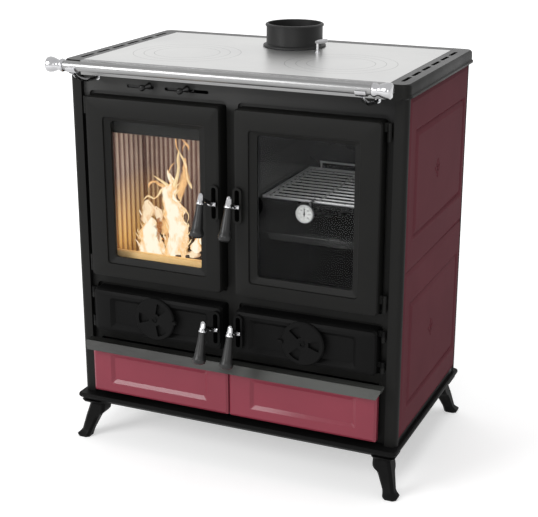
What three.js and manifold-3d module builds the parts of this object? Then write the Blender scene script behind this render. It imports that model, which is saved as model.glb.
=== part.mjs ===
// A free-standing wood-burning kitchen cookstove: cast front with two glazed
// doors over two vented doors, a wide wood drawer, enamelled side panels,
// a steel hob between slotted cheeks, a flue collar and a guard rail.
// Millimetres, +Z up, the front faces -Y, X = 0 is the middle of the stove.
import * as THREE from 'three';
import { mergeVertices } from 'three/addons/utils/BufferGeometryUtils.js';
import Module from 'manifold-3d';

const wasm = await Module();
wasm.setup();

// Driving dimensions of the whole stove
const hobHeight = 860;
const bodyWidth = 740;
const topDepth = 460;
const plinthUnderside = 89;

// How far the top and the plinth stand past the body
const cheekOverhang = 4;
const plinthSideOverhang = 6;
const plinthEndOverhang = 9;
const rimHeight = 30;
const faceSetback = 15;
const backSetback = 4;
const plinthThickness = 18;
const sidePanelFoot = 14;

// Clearances and overruns
const fitGap = 0.3;
const jointGap = 0.6;
const cutOver = 2;

// Facet counts
const fineTurn = 24;
const roundTurn = 14;
const smallTurn = 10;
const wireTurn = 8;
const slimTurn = 5;
const cornerSteps = 2;
const cheekSteps = 4;
const arcSteps = 3;
const coarseSteps = 2;
const chamferSteps = 1;

// Levels and planes that follow from them
const topWidth = bodyWidth + 2 * cheekOverhang;
const plinthWidth = bodyWidth + 2 * plinthSideOverhang;
const plinthDepth = topDepth + 2 * plinthEndOverhang;
const halfTopWidth = topWidth / 2;
const halfTopDepth = topDepth / 2;
const halfBody = bodyWidth / 2;
const pillarFace = -halfTopDepth + faceSetback;
const pillarBack = halfTopDepth - backSetback;
const plinthTop = plinthUnderside + plinthThickness;
const rimUnderside = hobHeight - rimHeight;
const bodyFoot = plinthTop + fitGap;
const bodyHead = rimUnderside - fitGap;

// Front casting, doors and drawer, read across the front
const castingRecess = 11;
const pocketDepth = 8;
const castingWeb = 6;
const doorGap = 32;
const doorDrop = 73;
const ventDoorHeight = 97;
const pocketMargin = { inner: 3.5, outer: 5, top: 7, foot: 4 };
const pocketCorner = 8;
const leafProud = 31;
const leafSeat = 1.5;

// How far the edges of the front parts stay from the sides of the body
const sideMargin = { door: 45, mouth: 44, drawer: 50, panel: 38.5, strip: 28, chamber: 64 };

// How far the edges of the front parts stand over the plinth
const footMargin = {
  mouth: 5, drawer: 10, panel: 14.5, strip: 119, drawerTop: 121, frontTop: 131, mouthTop: 133, stripTop: 137,
  chamber: 145, ventDoor: 159,
};

const castingFace = pillarFace + castingRecess;
const pocketFloor = castingFace + pocketDepth;
const castingBack = pocketFloor + castingWeb;
const leafFace = castingFace - leafProud;
const leafBack = pocketFloor - leafSeat;
const leafInner = doorGap / 2;
const leafOuter = halfBody - sideMargin.door;
const ventDoorFoot = plinthTop + footMargin.ventDoor;
const ventDoorTop = ventDoorFoot + ventDoorHeight;
const fireDoorFoot = ventDoorTop + doorGap;
const fireDoorTop = hobHeight - doorDrop;

const cast = { color: 0x242424, roughness: 0.55, metalness: 0.3 };
const steel = { color: 0xd0d0cc, roughness: 0.25, metalness: 0.9 };
const chrome = { color: 0xeeeeee, roughness: 0.12, metalness: 1 };
const enamel = { color: 0x8e3743, roughness: 0.25, metalness: 0 };
const sheet = { color: 0x3a3a3a, roughness: 0.5, metalness: 0.6 };
const gripBlack = { color: 0x4a4c4c, roughness: 0.5, metalness: 0 };
const glass = { color: 0x8899a0, roughness: 0.05, metalness: 0 };
const firebrick = { color: 0x9a8060, roughness: 0.9, metalness: 0 };
const dialWhite = { color: 0xf2f2ee, roughness: 0.4, metalness: 0 };

const degrees = THREE.MathUtils.degToRad;
const quarter = 90;

// Merge shared corners, drop collapsed triangles and turn every face outward.
function tidy(source) {
  const bare = source.clone();
  bare.deleteAttribute('normal');
  bare.deleteAttribute('uv');
  const merged = mergeVertices(bare);
  const spots = merged.getAttribute('position');
  const corner = [new THREE.Vector3(), new THREE.Vector3(), new THREE.Vector3()];
  const kept = [];
  let volume = 0;
  for (let i = 0; i < merged.index.count; i += 3) {
    const trio = [0, 1, 2].map((k) => merged.index.getX(i + k));
    if (new Set(trio).size < trio.length) continue;
    trio.forEach((v, k) => corner[k].fromBufferAttribute(spots, v));
    volume += corner[0].dot(corner[1].clone().cross(corner[2]));
    kept.push(trio);
  }
  const order = volume < 0 ? kept.map(([a, b, c]) => [a, c, b]) : kept;
  const clean = new THREE.BufferGeometry();
  clean.setAttribute('position', spots);
  clean.setIndex(order.flat());
  return clean;
}

function toSolid(geometry) {
  const clean = tidy(geometry);
  const vertProperties = new Float32Array(clean.getAttribute('position').array);
  const triVerts = new Uint32Array(clean.index.array);
  return new wasm.Manifold(new wasm.Mesh({ numProp: 3, vertProperties, triVerts }));
}

function toGeometry(solid) {
  const mesh = solid.getMesh();
  const geometry = new THREE.BufferGeometry();
  geometry.setAttribute('position', new THREE.BufferAttribute(mesh.vertProperties, 3));
  geometry.setIndex(new THREE.BufferAttribute(mesh.triVerts, 1));
  return geometry;
}

function join(...pieces) {
  return toGeometry(pieces.map(toSolid).reduce((all, next) => all.add(next)));
}

function cut(body, ...tools) {
  return toGeometry(tools.map(toSolid).reduce((left, tool) => left.subtract(tool), toSolid(body)));
}

function mirror(geometry, alongX, alongY) {
  return tidy(geometry.clone().scale(alongX, alongY, 1));
}

// A box between two planes on each axis.
function block([x0, x1], [y0, y1], [z0, z1]) {
  const box = new THREE.BoxGeometry(Math.abs(x1 - x0), Math.abs(y1 - y0), z1 - z0);
  return box.translate((x0 + x1) / 2, (y0 + y1) / 2, (z0 + z1) / 2);
}

// Prisms: an outline in X-Z pushed forward, in Y-Z pushed along X, in X-Y raised.
function frontPrism(shape, back, front, steps = smallTurn) {
  const depth = back - front;
  const push = new THREE.ExtrudeGeometry(shape, { depth, bevelEnabled: false, curveSegments: steps });
  const turn = new THREE.Matrix4().makeBasis(
    new THREE.Vector3(1, 0, 0), new THREE.Vector3(0, 0, 1), new THREE.Vector3(0, -1, 0));
  return push.applyMatrix4(turn).translate(0, back, 0);
}

function sidePrism(shape, from, to, steps = smallTurn) {
  const depth = to - from;
  const push = new THREE.ExtrudeGeometry(shape, { depth, bevelEnabled: false, curveSegments: steps });
  const turn = new THREE.Matrix4().makeBasis(
    new THREE.Vector3(0, 1, 0), new THREE.Vector3(0, 0, 1), new THREE.Vector3(1, 0, 0));
  return push.applyMatrix4(turn).translate(from, 0, 0);
}

function planPrism(shape, from, to, steps = smallTurn) {
  const depth = to - from;
  const push = new THREE.ExtrudeGeometry(shape, { depth, bevelEnabled: false, curveSegments: steps });
  return push.translate(0, 0, from);
}

// A round bar between two points.
function rod(from, to, radius, sides = smallTurn) {
  const start = new THREE.Vector3(...from);
  const reach = new THREE.Vector3(...to).sub(start);
  const bar = new THREE.CylinderGeometry(radius, radius, reach.length(), sides);
  bar.translate(0, reach.length() / 2, 0);
  const up = new THREE.Vector3(0, 1, 0);
  bar.applyQuaternion(new THREE.Quaternion().setFromUnitVectors(up, reach.normalize()));
  return bar.translate(...from);
}

// A turned piece: a profile of [radius, height] pairs spun about Z.
function turned(profile, sides) {
  const points = profile.map(([radius, height]) => new THREE.Vector2(radius, height));
  return new THREE.LatheGeometry(points, sides).rotateX(degrees(quarter));
}

// A rounded rectangle as a shape, for prisms.
function roundedShape(rect, radius) {
  const shape = new THREE.Shape();
  const r = Math.min(radius, (rect.u1 - rect.u0) / 2, (rect.v1 - rect.v0) / 2);
  shape.moveTo(rect.u0 + r, rect.v0);
  shape.lineTo(rect.u1 - r, rect.v0);
  shape.absarc(rect.u1 - r, rect.v0 + r, r, degrees(-quarter), 0);
  shape.lineTo(rect.u1, rect.v1 - r);
  shape.absarc(rect.u1 - r, rect.v1 - r, r, 0, degrees(quarter));
  shape.lineTo(rect.u0 + r, rect.v1);
  shape.absarc(rect.u0 + r, rect.v1 - r, r, degrees(quarter), degrees(2 * quarter));
  shape.lineTo(rect.u0, rect.v0 + r);
  shape.absarc(rect.u0 + r, rect.v0 + r, r, degrees(2 * quarter), degrees(3 * quarter));
  return shape;
}

function polygon(points) {
  return new THREE.Shape(points.map(([u, v]) => new THREE.Vector2(u, v)));
}

function inset(rect, by) {
  return { u0: rect.u0 + by, u1: rect.u1 - by, v0: rect.v0 + by, v1: rect.v1 - by };
}

// One ring of a loft: a rounded rectangle at a level, laid out by place(u, v, level).
function ring(rect, radius, level, place, steps = cornerSteps) {
  const spots = [];
  const corners = [
    [rect.u1 - radius, rect.v0 + radius, -1],
    [rect.u1 - radius, rect.v1 - radius, 0],
    [rect.u0 + radius, rect.v1 - radius, 1],
    [rect.u0 + radius, rect.v0 + radius, 2],
  ];
  for (const [u, v, turns] of corners) {
    for (let i = 0; i <= steps; i += 1) {
      const angle = degrees(quarter * (turns + i / steps));
      spots.push(place(u + radius * Math.cos(angle), v + radius * Math.sin(angle), level));
    }
  }
  return spots;
}

// Skin a stack of rings; the stack closes on itself, or its two ends are capped.
function loft(rings, looped = false) {
  const count = rings[0].length;
  const faces = [];
  const bands = looped ? rings.length : rings.length - 1;
  for (let b = 0; b < bands; b += 1) {
    const near = b * count;
    const far = ((b + 1) % rings.length) * count;
    for (let i = 0; i < count; i += 1) {
      const j = (i + 1) % count;
      faces.push([near + i, near + j, far + j], [near + i, far + j, far + i]);
    }
  }
  if (!looped) {
    const last = (rings.length - 1) * count;
    for (let i = 1; i < count - 1; i += 1) {
      faces.push([0, i + 1, i], [last, last + i, last + i + 1]);
    }
  }
  const geometry = new THREE.BufferGeometry();
  const spots = rings.flat().flatMap((p) => [p.x, p.y, p.z]);
  geometry.setAttribute('position', new THREE.Float32BufferAttribute(spots, 3));
  geometry.setIndex(faces.flat());
  return tidy(geometry);
}

const onFront = (u, v, level) => new THREE.Vector3(u, level, v);
const onSide = (u, v, level) => new THREE.Vector3(level, u, v);
const onPlan = (u, v, level) => new THREE.Vector3(u, v, level);

const stove = new THREE.Group();

function addPiece(name, geometry, look) {
  const mesh = new THREE.Mesh(tidy(geometry), new THREE.MeshStandardMaterial(look));
  mesh.name = name;
  stove.add(mesh);
}

// Legs: a shoulder under the plinth, an S-curved knee and a splayed, flared toe.
const leg = { width: 37.5, setIn: 18.5, corner: 6, foot: fitGap };
const legShares = [
  // height, outer edge, inner edge
  [0, 0.6, 0.83],
  [0.056, 0.65, 0.8],
  [0.124, 0.49, 0.76],
  [0.18, 0.4, 0.72],
  [0.507, 0.227, 0.4],
  [0.575, 0.187, 0.307],
  [0.62, 0.16, 0.133],
  [0.676, 0.12, 0.027],
  [0.744, 0.08, 0],
  [0.868, 0, 0],
  [0.9, 0.093, 0],
  [0.947, 0.28, 0],
  [1, 0.36, 0],
];

function legBody() {
  const height = plinthUnderside - fitGap;
  const shoulderX = plinthWidth / 2 - leg.setIn;
  const shoulderY = plinthDepth / 2 - leg.setIn;
  const rings = legShares.map(([rise, out, inward]) => {
    const rect = {
      u0: shoulderX - leg.width + inward * leg.width,
      u1: shoulderX + out * leg.width,
      v0: shoulderY - leg.width + inward * leg.width,
      v1: shoulderY + out * leg.width,
    };
    return ring(rect, leg.corner, rise * height, onPlan, chamferSteps);
  });
  return loft(rings);
}

// Plinth: a moulded cast tray with a curb under each side panel.
const plinth = { corner: 8, topPlate: 5, pocketRim: 4, curbWidth: 6, mouldWidth: 10 };
const plinthShares = [
  // height, how far the edge is drawn in
  [0, 1],
  [0.2, 0.7],
  [0.45, 0.15],
  [0.6, 0],
  [0.85, 0],
  [1, 0.25],
];

function plinthBody() {
  const outline = { u0: -plinthWidth / 2, u1: plinthWidth / 2, v0: -plinthDepth / 2, v1: plinthDepth / 2 };
  const slab = loft(plinthShares.map(([rise, draw]) => ring(inset(outline, draw * plinth.mouldWidth),
    plinth.corner, plinthUnderside + rise * plinthThickness, onPlan)));
  const hollowX = plinthWidth / 2 - leg.setIn - leg.width - plinth.pocketRim;
  const hollowY = plinthDepth / 2 - leg.setIn - leg.width - plinth.pocketRim;
  const hollow = block([-hollowX, hollowX], [-hollowY, hollowY],
    [plinthUnderside - cutOver, plinthTop - plinth.topPlate]);
  const curbs = [-1, 1].map((side) => block(
    [side * (panelBack - fitGap - plinth.curbWidth), side * (panelBack - fitGap)],
    [panelFront + pillar.flange + fitGap, panelRear - pillar.flange - fitGap],
    [plinthTop - cutOver, panelFoot - fitGap]));
  const rails = [-1, 1].map((side) => block(
    [side * (drawerRailX - drawerRail.half), side * (drawerRailX + drawerRail.half)],
    [castingBack + drawerRail.setIn, pillarBack - drawerRail.backGap],
    [plinthTop - cutOver, drawer.foot - fitGap]));
  return cut(join(slab, ...curbs, ...rails), hollow);
}

// Corner pillars: a rounded cast angle with a flange behind the side panels.
const pillar = { width: 27, corner: 12, wall: 5, seat: 4, flange: 20 };

function pillarBody(face, inward, backPlane) {
  const depth = Math.abs(backPlane - face);
  const outer = new THREE.Shape();
  outer.moveTo(pillar.width, 0);
  outer.lineTo(pillar.corner, 0);
  outer.absarc(pillar.corner, pillar.corner, pillar.corner, degrees(-quarter), degrees(-2 * quarter), true);
  outer.lineTo(pillar.seat, pillar.corner);
  outer.lineTo(pillar.seat, pillar.corner + pillar.flange);
  outer.lineTo(pillar.seat + pillar.wall, pillar.corner + pillar.flange);
  outer.lineTo(pillar.seat + pillar.wall, pillar.seat + pillar.wall);
  outer.lineTo(pillar.corner, pillar.wall);
  outer.lineTo(pillar.width - pillar.wall, pillar.wall);
  outer.lineTo(pillar.width - pillar.wall, depth);
  outer.lineTo(pillar.width, depth);
  const body = planPrism(outer, bodyFoot, bodyHead, cheekSteps);
  return tidy(body.scale(-1, inward, 1).translate(halfBody, face, 0));
}

// Side panels: pressed enamel sheets with bevelled edges and a framed field.
const sidePanel = { thickness: 4.7, jointLift: 2.65, edgeBevel: 9, edgeDrop: 3.2, corner: 3 };
const sideFrame = { front: 38, rear: 22, top: 64, foot: 60, lowerTop: 66, lowerFoot: 52 };
const sideMould = { bead: 3, beadRise: 0.6, groove: 5, grooveDepth: 3, slope: 10, fieldRise: 0.8 };
const panelBack = halfBody - pillar.seat + fitGap;
const panelFront = pillarFace + pillar.corner + fitGap;
const panelRear = pillarBack - pillar.corner - fitGap;
const panelFoot = plinthTop + sidePanelFoot;
const panelJoint = (panelFoot + bodyHead) / 2 + sidePanel.jointLift;

function sidePanelBody(foot, head, frameFoot, frameTop) {
  const sheetEdge = { u0: panelFront, u1: panelRear, v0: foot, v1: head };
  const frame = {
    u0: panelFront + sideFrame.front,
    u1: panelRear - sideFrame.rear,
    v0: foot + frameFoot,
    v1: head - frameTop,
  };
  const skin = panelBack + sidePanel.thickness;
  const r = sidePanel.corner;
  const valley = sideMould.bead + sideMould.groove;
  return loft([
    ring(sheetEdge, r, panelBack, onSide),
    ring(sheetEdge, r, skin - sidePanel.edgeDrop, onSide),
    ring(inset(sheetEdge, sidePanel.edgeBevel), r, skin, onSide),
    ring(inset(frame, -sideMould.bead), r, skin, onSide),
    ring(frame, r, skin + sideMould.beadRise, onSide),
    ring(inset(frame, sideMould.bead), r, skin, onSide),
    ring(inset(frame, valley), r, skin - sideMould.grooveDepth, onSide),
    ring(inset(frame, valley + sideMould.slope), r, skin + sideMould.fieldRise, onSide),
  ]);
}

// Hinges: the casting carries a lug with a pintle, the leaf drops its knuckle on it.
const hinge = { offset: 9, back: 10, radius: 5, pin: 2.5, web: 5, barrel: 18, pinRise: 14, roof: 4 };
const ventHinge = { barrel: 12, pinRise: 8 };
const fireHingeRise = 4;
const ventHingeRise = 3;
const hingeX = leafOuter + hinge.offset;
const hingeY = castingFace - hinge.back;

function hingeFeet(foot, top, rise, barrel) {
  return [foot + rise, top - rise - 2 * barrel - fitGap];
}

function castingLug(foot, barrel, pinRise) {
  const level = [foot, foot + barrel];
  return join(
    rod([hingeX, hingeY, level[0]], [hingeX, hingeY, level[1]], hinge.radius),
    block([hingeX - hinge.web / 2, hingeX + hinge.web / 2], [hingeY, castingFace + cutOver], level),
    rod([hingeX, hingeY, level[0] + hinge.roof], [hingeX, hingeY, level[1] + pinRise], hinge.pin));
}

function leafKnuckle(foot, barrel, pinRise) {
  const level = [foot + barrel + fitGap, foot + 2 * barrel + fitGap];
  const knuckle = join(
    rod([hingeX, hingeY, level[0]], [hingeX, hingeY, level[1]], hinge.radius),
    block([leafOuter - cutOver, hingeX], [hingeY - hinge.web / 2, hingeY + hinge.web / 2], level));
  const bore = rod([hingeX, hingeY, level[0] - cutOver], [hingeX, hingeY, foot + barrel + pinRise + jointGap],
    hinge.pin + fitGap);
  return cut(knuckle, bore);
}

// Latches: a chrome lever on a cross barrel, with a tongue into the casting.
const latch = {
  x: 26, barrelRadius: 5, barrelHalf: 9, pivotProud: 12, armRadius: 4, gripShift: 5,
  tongueHalf: 3, tongueRise: 4, tongueReach: 5, ventLift: 3,
};
const boss = {
  halfWidth: 10, halfHeight: 38, slotHalf: 5, slotHalfHeight: 33,
  thickness: latch.pivotProud - latch.barrelRadius - fitGap,
};
const keeper = { halfWidth: 6, up: 9, down: 33 };
const pivotY = leafFace - latch.pivotProud;
const fireLatchZ = (fireDoorTop + fireDoorFoot) / 2;
const ventLatchZ = (ventDoorTop + ventDoorFoot) / 2 + latch.ventLift;

function slotTool(level) {
  const rect = {
    u0: latch.x - boss.slotHalf, u1: latch.x + boss.slotHalf,
    v0: level - boss.slotHalfHeight, v1: level + boss.slotHalfHeight,
  };
  const front = leafFace - boss.thickness - cutOver;
  return frontPrism(roundedShape(rect, boss.slotHalf), leafBack + cutOver, front, arcSteps);
}

function latchBoss(level) {
  const rect = {
    u0: latch.x - boss.halfWidth, u1: latch.x + boss.halfWidth,
    v0: level - boss.halfHeight, v1: level + boss.halfHeight,
  };
  const front = leafFace - boss.thickness;
  return frontPrism(roundedShape(rect, boss.halfWidth), leafFace + cutOver, front, arcSteps);
}

// Grip axis: a ferrule dome at the top, a grip hanging from it and leaning forward.
const grip = { lean: 16, tipAhead: 39, tipRise: 34, ferruleLength: 24, length: 68, seat: fitGap };
const ferruleShares = [
  // along the ferrule, radius over the collar radius
  [0, 0],
  [0.03, 0.3],
  [0.12, 0.55],
  [0.3, 0.66],
  [0.62, 0.74],
  [0.8, 0.86],
  [0.9, 1],
  [1, 1],
  [1, 0],
];
const ferruleRadius = 8.7;
const gripRadius = 14.5;
const gripShares = [
  // along the grip, radius over the flare radius
  [0, 0],
  [0, 0.5],
  [0.12, 0.52],
  [0.65, 0.78],
  [0.75, 0.84],
  [0.81, 0.99],
  [0.88, 1],
  [0.95, 0.84],
  [0.99, 0.5],
  [1, 0],
];

function hangFrom(geometry, level) {
  const tilt = new THREE.Matrix4().makeRotationX(degrees(-grip.lean));
  return geometry.applyMatrix4(tilt)
    .translate(latch.x + latch.gripShift, pivotY - grip.tipAhead, level + grip.tipRise);
}

function latchLever(level) {
  const profile = ferruleShares.map(([along, wide]) => [wide * ferruleRadius, -along * grip.ferruleLength]);
  const ferrule = hangFrom(turned(profile, smallTurn), level);
  const lean = degrees(grip.lean);
  const socket = grip.ferruleLength / 2;
  const armEnd = [
    latch.x + latch.gripShift,
    pivotY - grip.tipAhead - socket * Math.sin(lean),
    level + grip.tipRise - socket * Math.cos(lean),
  ];
  const barrel = rod([latch.x - latch.barrelHalf, pivotY, level], [latch.x + latch.barrelHalf, pivotY, level],
    latch.barrelRadius);
  const arm = rod([latch.x, pivotY, level], armEnd, latch.armRadius);
  const tongue = block([latch.x - latch.tongueHalf, latch.x + latch.tongueHalf],
    [pivotY, pocketFloor + latch.tongueReach], [level - latch.tongueRise, level + latch.tongueRise]);
  return join(barrel, arm, ferrule, tongue);
}

function latchGrip(level) {
  const start = grip.ferruleLength + grip.seat;
  const profile = gripShares.map(([along, wide]) => [wide * gripRadius, -start - along * grip.length]);
  return hangFrom(turned(profile, roundTurn), level);
}

// Glazed leaves: a rounded rim, a flat border, a stepped bevel and a glass rebate.
const leaf = { corner: 6, rim: 6, round: 6, faceThickness: 18 };
const roundShare = 0.3;
const bevelMargin = { inner: 32, outer: 41, top: 40, foot: 31 };
const glassMargin = { inner: 48, outer: 55, top: 50, foot: 45 };
const bevel = { step: 4, stepRun: 1.5, slopeDepth: 10, lip: 4, rebate: 8 };
const pane = { thickness: 4, edge: 1 };
const retainer = { thickness: 3, cover: 2, spread: 18 };

function marginRect(outer, margin) {
  return {
    u0: outer.u0 + margin.inner, u1: outer.u1 - margin.outer,
    v0: outer.v0 + margin.foot, v1: outer.v1 - margin.top,
  };
}

const fireLeaf = { u0: leafInner, u1: leafOuter, v0: fireDoorFoot, v1: fireDoorTop };
const ventLeaf = { u0: leafInner, u1: leafOuter, v0: ventDoorFoot, v1: ventDoorTop };
const glassOpening = marginRect(fireLeaf, glassMargin);
const leafWebBack = leafFace + leaf.faceThickness;
const rebateFloor = leafFace + bevel.slopeDepth + bevel.lip;

function rimRings(outer) {
  return [
    ring(inset(outer, leaf.rim), leaf.corner, leafBack, onFront),
    ring(outer, leaf.corner, leafBack, onFront),
    ring(outer, leaf.corner, leafFace + leaf.round, onFront),
    ring(inset(outer, leaf.round * roundShare), leaf.corner, leafFace + leaf.round * roundShare, onFront),
    ring(inset(outer, leaf.round), leaf.corner, leafFace, onFront),
  ];
}

function glazedLeaf() {
  const bevelEdge = marginRect(fireLeaf, bevelMargin);
  const frame = loft([
    ...rimRings(fireLeaf),
    ring(bevelEdge, leaf.corner, leafFace, onFront),
    ring(inset(bevelEdge, bevel.stepRun), leaf.corner, leafFace + bevel.step, onFront),
    ring(glassOpening, leaf.corner, leafFace + bevel.slopeDepth, onFront),
    ring(glassOpening, leaf.corner, rebateFloor, onFront),
    ring(inset(glassOpening, -bevel.rebate), leaf.corner, rebateFloor, onFront),
    ring(inset(glassOpening, -bevel.rebate), leaf.corner, leafWebBack, onFront),
    ring(inset(fireLeaf, leaf.rim), leaf.corner, leafWebBack, onFront),
  ], true);
  const knuckles = hingeFeet(fireDoorFoot, fireDoorTop, fireHingeRise, hinge.barrel)
    .map((foot) => leafKnuckle(foot, hinge.barrel, hinge.pinRise));
  return cut(join(frame, gasketLedge(), latchBoss(fireLatchZ), ...knuckles), slotTool(fireLatchZ));
}

function paneBody() {
  const rect = inset(glassOpening, pane.edge - bevel.rebate);
  const front = rebateFloor + fitGap;
  const levels = [front + pane.thickness, front];
  return loft(levels.map((level) => ring(rect, leaf.corner, level, onFront, chamferSteps)));
}

function retainerBody() {
  const front = rebateFloor + pane.thickness + 2 * fitGap;
  const hole = inset(glassOpening, -retainer.cover);
  const edge = inset(glassOpening, -retainer.spread);
  const outline = roundedShape(edge, leaf.corner);
  outline.holes.push(roundedShape(hole, leaf.corner));
  return frontPrism(outline, front + retainer.thickness, front, coarseSteps);
}

// Rope gaskets: a flat fibre strand on a raised ledge behind each glazed leaf.
const gasket = { inner: 17, outer: 8, top: 14, foot: 10, width: 8, thickness: 10, corner: 12 };
const gasketFront = pocketFloor - fitGap - gasket.thickness;

function gasketShape(shrink) {
  const edge = marginRect(fireLeaf, gasket);
  const outline = roundedShape(inset(edge, shrink), gasket.corner - shrink);
  outline.holes.push(roundedShape(inset(edge, gasket.width - shrink), gasket.corner - gasket.width / 2));
  return outline;
}

function gasketBody() {
  return frontPrism(gasketShape(0), pocketFloor - fitGap, gasketFront, coarseSteps);
}

function gasketLedge() {
  return frontPrism(gasketShape(0), gasketFront - fitGap, leafWebBack - cutOver, coarseSteps);
}

// Vented leaves: a thick rolled rim, a sunk field and a round seat with three ports.
const ventRim = { round: 9, web: 14 };
const fieldMargin = { inner: 31, outer: 41, top: 16, foot: 11 };
const field = { bevelRun: 8, depth: 8 };
const disc = { radius: 47.5, thickness: 6, proud: 8, edge: 2.5, seat: 1, pin: 3.5, hub: 7, hubProud: 2 };
const port = { inner: 14, outer: 38, pad: 1 };
const portSpread = 19;
const portTurn = 60;
const portAngles = [0, 120, 240];
const registerTab = { width: 9, length: 14, thickness: 4 };
const discX = (leafInner + leafOuter) / 2;
const discZ = (ventDoorTop + ventDoorFoot) / 2 + disc.seat;
const discBack = leafFace - disc.proud + disc.thickness;
const discFront = leafFace - disc.proud;

// A port: a wedge of a ring, drawn in all round by a clearance.
function portShape(angle, pad) {
  const shape = new THREE.Shape();
  const inner = port.inner + pad;
  const outer = port.outer - pad;
  const half = degrees(portSpread) - pad / port.inner;
  const from = degrees(angle) - half;
  const to = degrees(angle) + half;
  shape.moveTo(inner * Math.cos(from), inner * Math.sin(from));
  shape.lineTo(outer * Math.cos(from), outer * Math.sin(from));
  shape.absarc(0, 0, outer, from, to);
  shape.lineTo(inner * Math.cos(to), inner * Math.sin(to));
  shape.absarc(0, 0, inner, to, from, true);
  return shape;
}

function portTools(back, front, turn, pad) {
  return portAngles.map((angle) => frontPrism(portShape(angle + turn, pad), back, front, arcSteps)
    .translate(discX, 0, discZ));
}

function ventLeafBody() {
  const edge = marginRect(ventLeaf, fieldMargin);
  const floor = leafFace + field.depth;
  const round = ventRim.round;
  const plate = loft([
    ring(ventLeaf, leaf.corner, leafBack, onFront),
    ring(ventLeaf, leaf.corner, leafFace + round, onFront),
    ring(inset(ventLeaf, round * roundShare), leaf.corner, leafFace + round * roundShare, onFront),
    ring(inset(ventLeaf, round), leaf.corner, leafFace, onFront),
    ring(edge, leaf.corner, leafFace, onFront),
    ring(inset(edge, field.bevelRun), leaf.corner, floor, onFront),
  ]);
  const hollow = frontPrism(roundedShape(inset(ventLeaf, leaf.rim), leaf.corner),
    leafBack + cutOver, leafFace + ventRim.web, coarseSteps);
  const seat = rod([discX, leafFace + ventRim.web - cutOver, discZ], [discX, discBack + fitGap, discZ],
    disc.radius - cutOver, fineTurn);
  const slotWall = block([latch.x - boss.halfWidth, latch.x + boss.halfWidth], [floor, leafWebBack],
    [ventDoorFoot + leaf.rim / 2, ventDoorTop - leaf.rim / 2]);
  const pin = rod([discX, discBack + cutOver, discZ], [discX, discFront - fitGap, discZ], disc.pin);
  const knuckles = hingeFeet(ventDoorFoot, ventDoorTop, ventHingeRise, ventHinge.barrel)
    .map((foot) => leafKnuckle(foot, ventHinge.barrel, ventHinge.pinRise));
  const solid = cut(join(cut(plate, hollow), seat, slotWall, latchBoss(ventLatchZ), ...knuckles),
    slotTool(ventLatchZ), ...portTools(leafBack, discBack - cutOver, portTurn, port.pad));
  return join(solid, pin);
}

// Air register: a round cast plate with three matching ports, a hub and a thumb tab.
function registerBody() {
  const plate = turned([
    [0, -discFront + disc.hubProud],
    [disc.hub - disc.edge, -discFront + disc.hubProud],
    [disc.hub, -discFront + disc.hubProud - disc.edge],
    [disc.hub + disc.edge, -discFront],
    [disc.radius - disc.edge, -discFront],
    [disc.radius, -discFront - disc.edge],
    [disc.radius, -discBack],
    [0, -discBack],
  ], fineTurn);
  plate.rotateX(degrees(quarter)).translate(discX, 0, discZ);
  const tabX = discX - disc.radius + registerTab.length / 2;
  const tabEdge = {
    u0: tabX - registerTab.length, u1: tabX,
    v0: discZ - registerTab.width / 2, v1: discZ + registerTab.width / 2,
  };
  const tab = loft([
    ring(tabEdge, disc.edge, discFront + cutOver, onFront, chamferSteps),
    ring(inset(tabEdge, disc.edge / 2), disc.edge, discFront - registerTab.thickness, onFront, chamferSteps),
  ]);
  const bore = rod([discX, discBack + cutOver, discZ], [discX, discFront - cutOver, discZ],
    disc.pin + fitGap);
  return cut(join(plate, tab), bore, ...portTools(discBack + cutOver, discFront - cutOver, 0, 0));
}

// Front casting: bars round four sunk door seats, a drawer mouth and a lever band.
const ovenWindow = { inner: 27, outer: 21, top: 28, foot: 25 };
const fireWindow = { inner: 31, outer: 28, top: 81, foot: 25 };
const ventWindow = { inner: 31, outer: 28, top: 10, foot: 10 };
const mouthCorner = 2;
const leverBand = { drop: 51, slotHalf: 3.5, web: 3, roomHalf: 13, roomSide: 2 };
const leverLevel = hobHeight - leverBand.drop;
const leverSlots = [
  // from the left side of the body to the slot, its length, where its lever stands, and the shutter's layer
  { start: 130, length: 64, stand: 58, layer: 0 },
  { start: 218, length: 100, stand: 56, layer: 1 },
];

function leafMargins(rect, margin) {
  return {
    u0: rect.u0 - margin.inner, u1: rect.u1 + margin.outer,
    v0: rect.v0 - margin.foot, v1: rect.v1 + margin.top,
  };
}

function doorTools(rect, windowMargin, latchLevel) {
  const pocket = frontPrism(roundedShape(leafMargins(rect, pocketMargin), pocketCorner),
    pocketFloor, castingFace - cutOver, coarseSteps);
  const hole = frontPrism(roundedShape(marginRect(rect, windowMargin), mouthCorner),
    castingBack + cutOver, pocketFloor - cutOver, chamferSteps);
  const slot = block([latch.x - keeper.halfWidth, latch.x + keeper.halfWidth],
    [pocketFloor - cutOver, castingBack + cutOver], [latchLevel - keeper.down, latchLevel + keeper.up]);
  return [pocket, hole, slot];
}

function leverSlotTool(slot) {
  const left = -halfBody + slot.start;
  const channel = {
    u0: left, u1: left + slot.length,
    v0: leverLevel - leverBand.slotHalf, v1: leverLevel + leverBand.slotHalf,
  };
  return frontPrism(roundedShape(channel, leverBand.slotHalf), castingBack + cutOver, castingFace - cutOver,
    coarseSteps);
}

// The room for the shutters behind the thin web that carries the slots.
function shutterRoomTool() {
  const [first, last] = leverSlots;
  const left = -halfBody + first.start - airLever.shutterLeft - leverBand.roomSide;
  const right = -halfBody + last.start + last.length + airLever.shutterRight + leverBand.roomSide;
  return block([left, right], [castingFace + leverBand.web, castingBack + cutOver],
    [leverLevel - leverBand.roomHalf, leverLevel + leverBand.roomHalf]);
}

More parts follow.
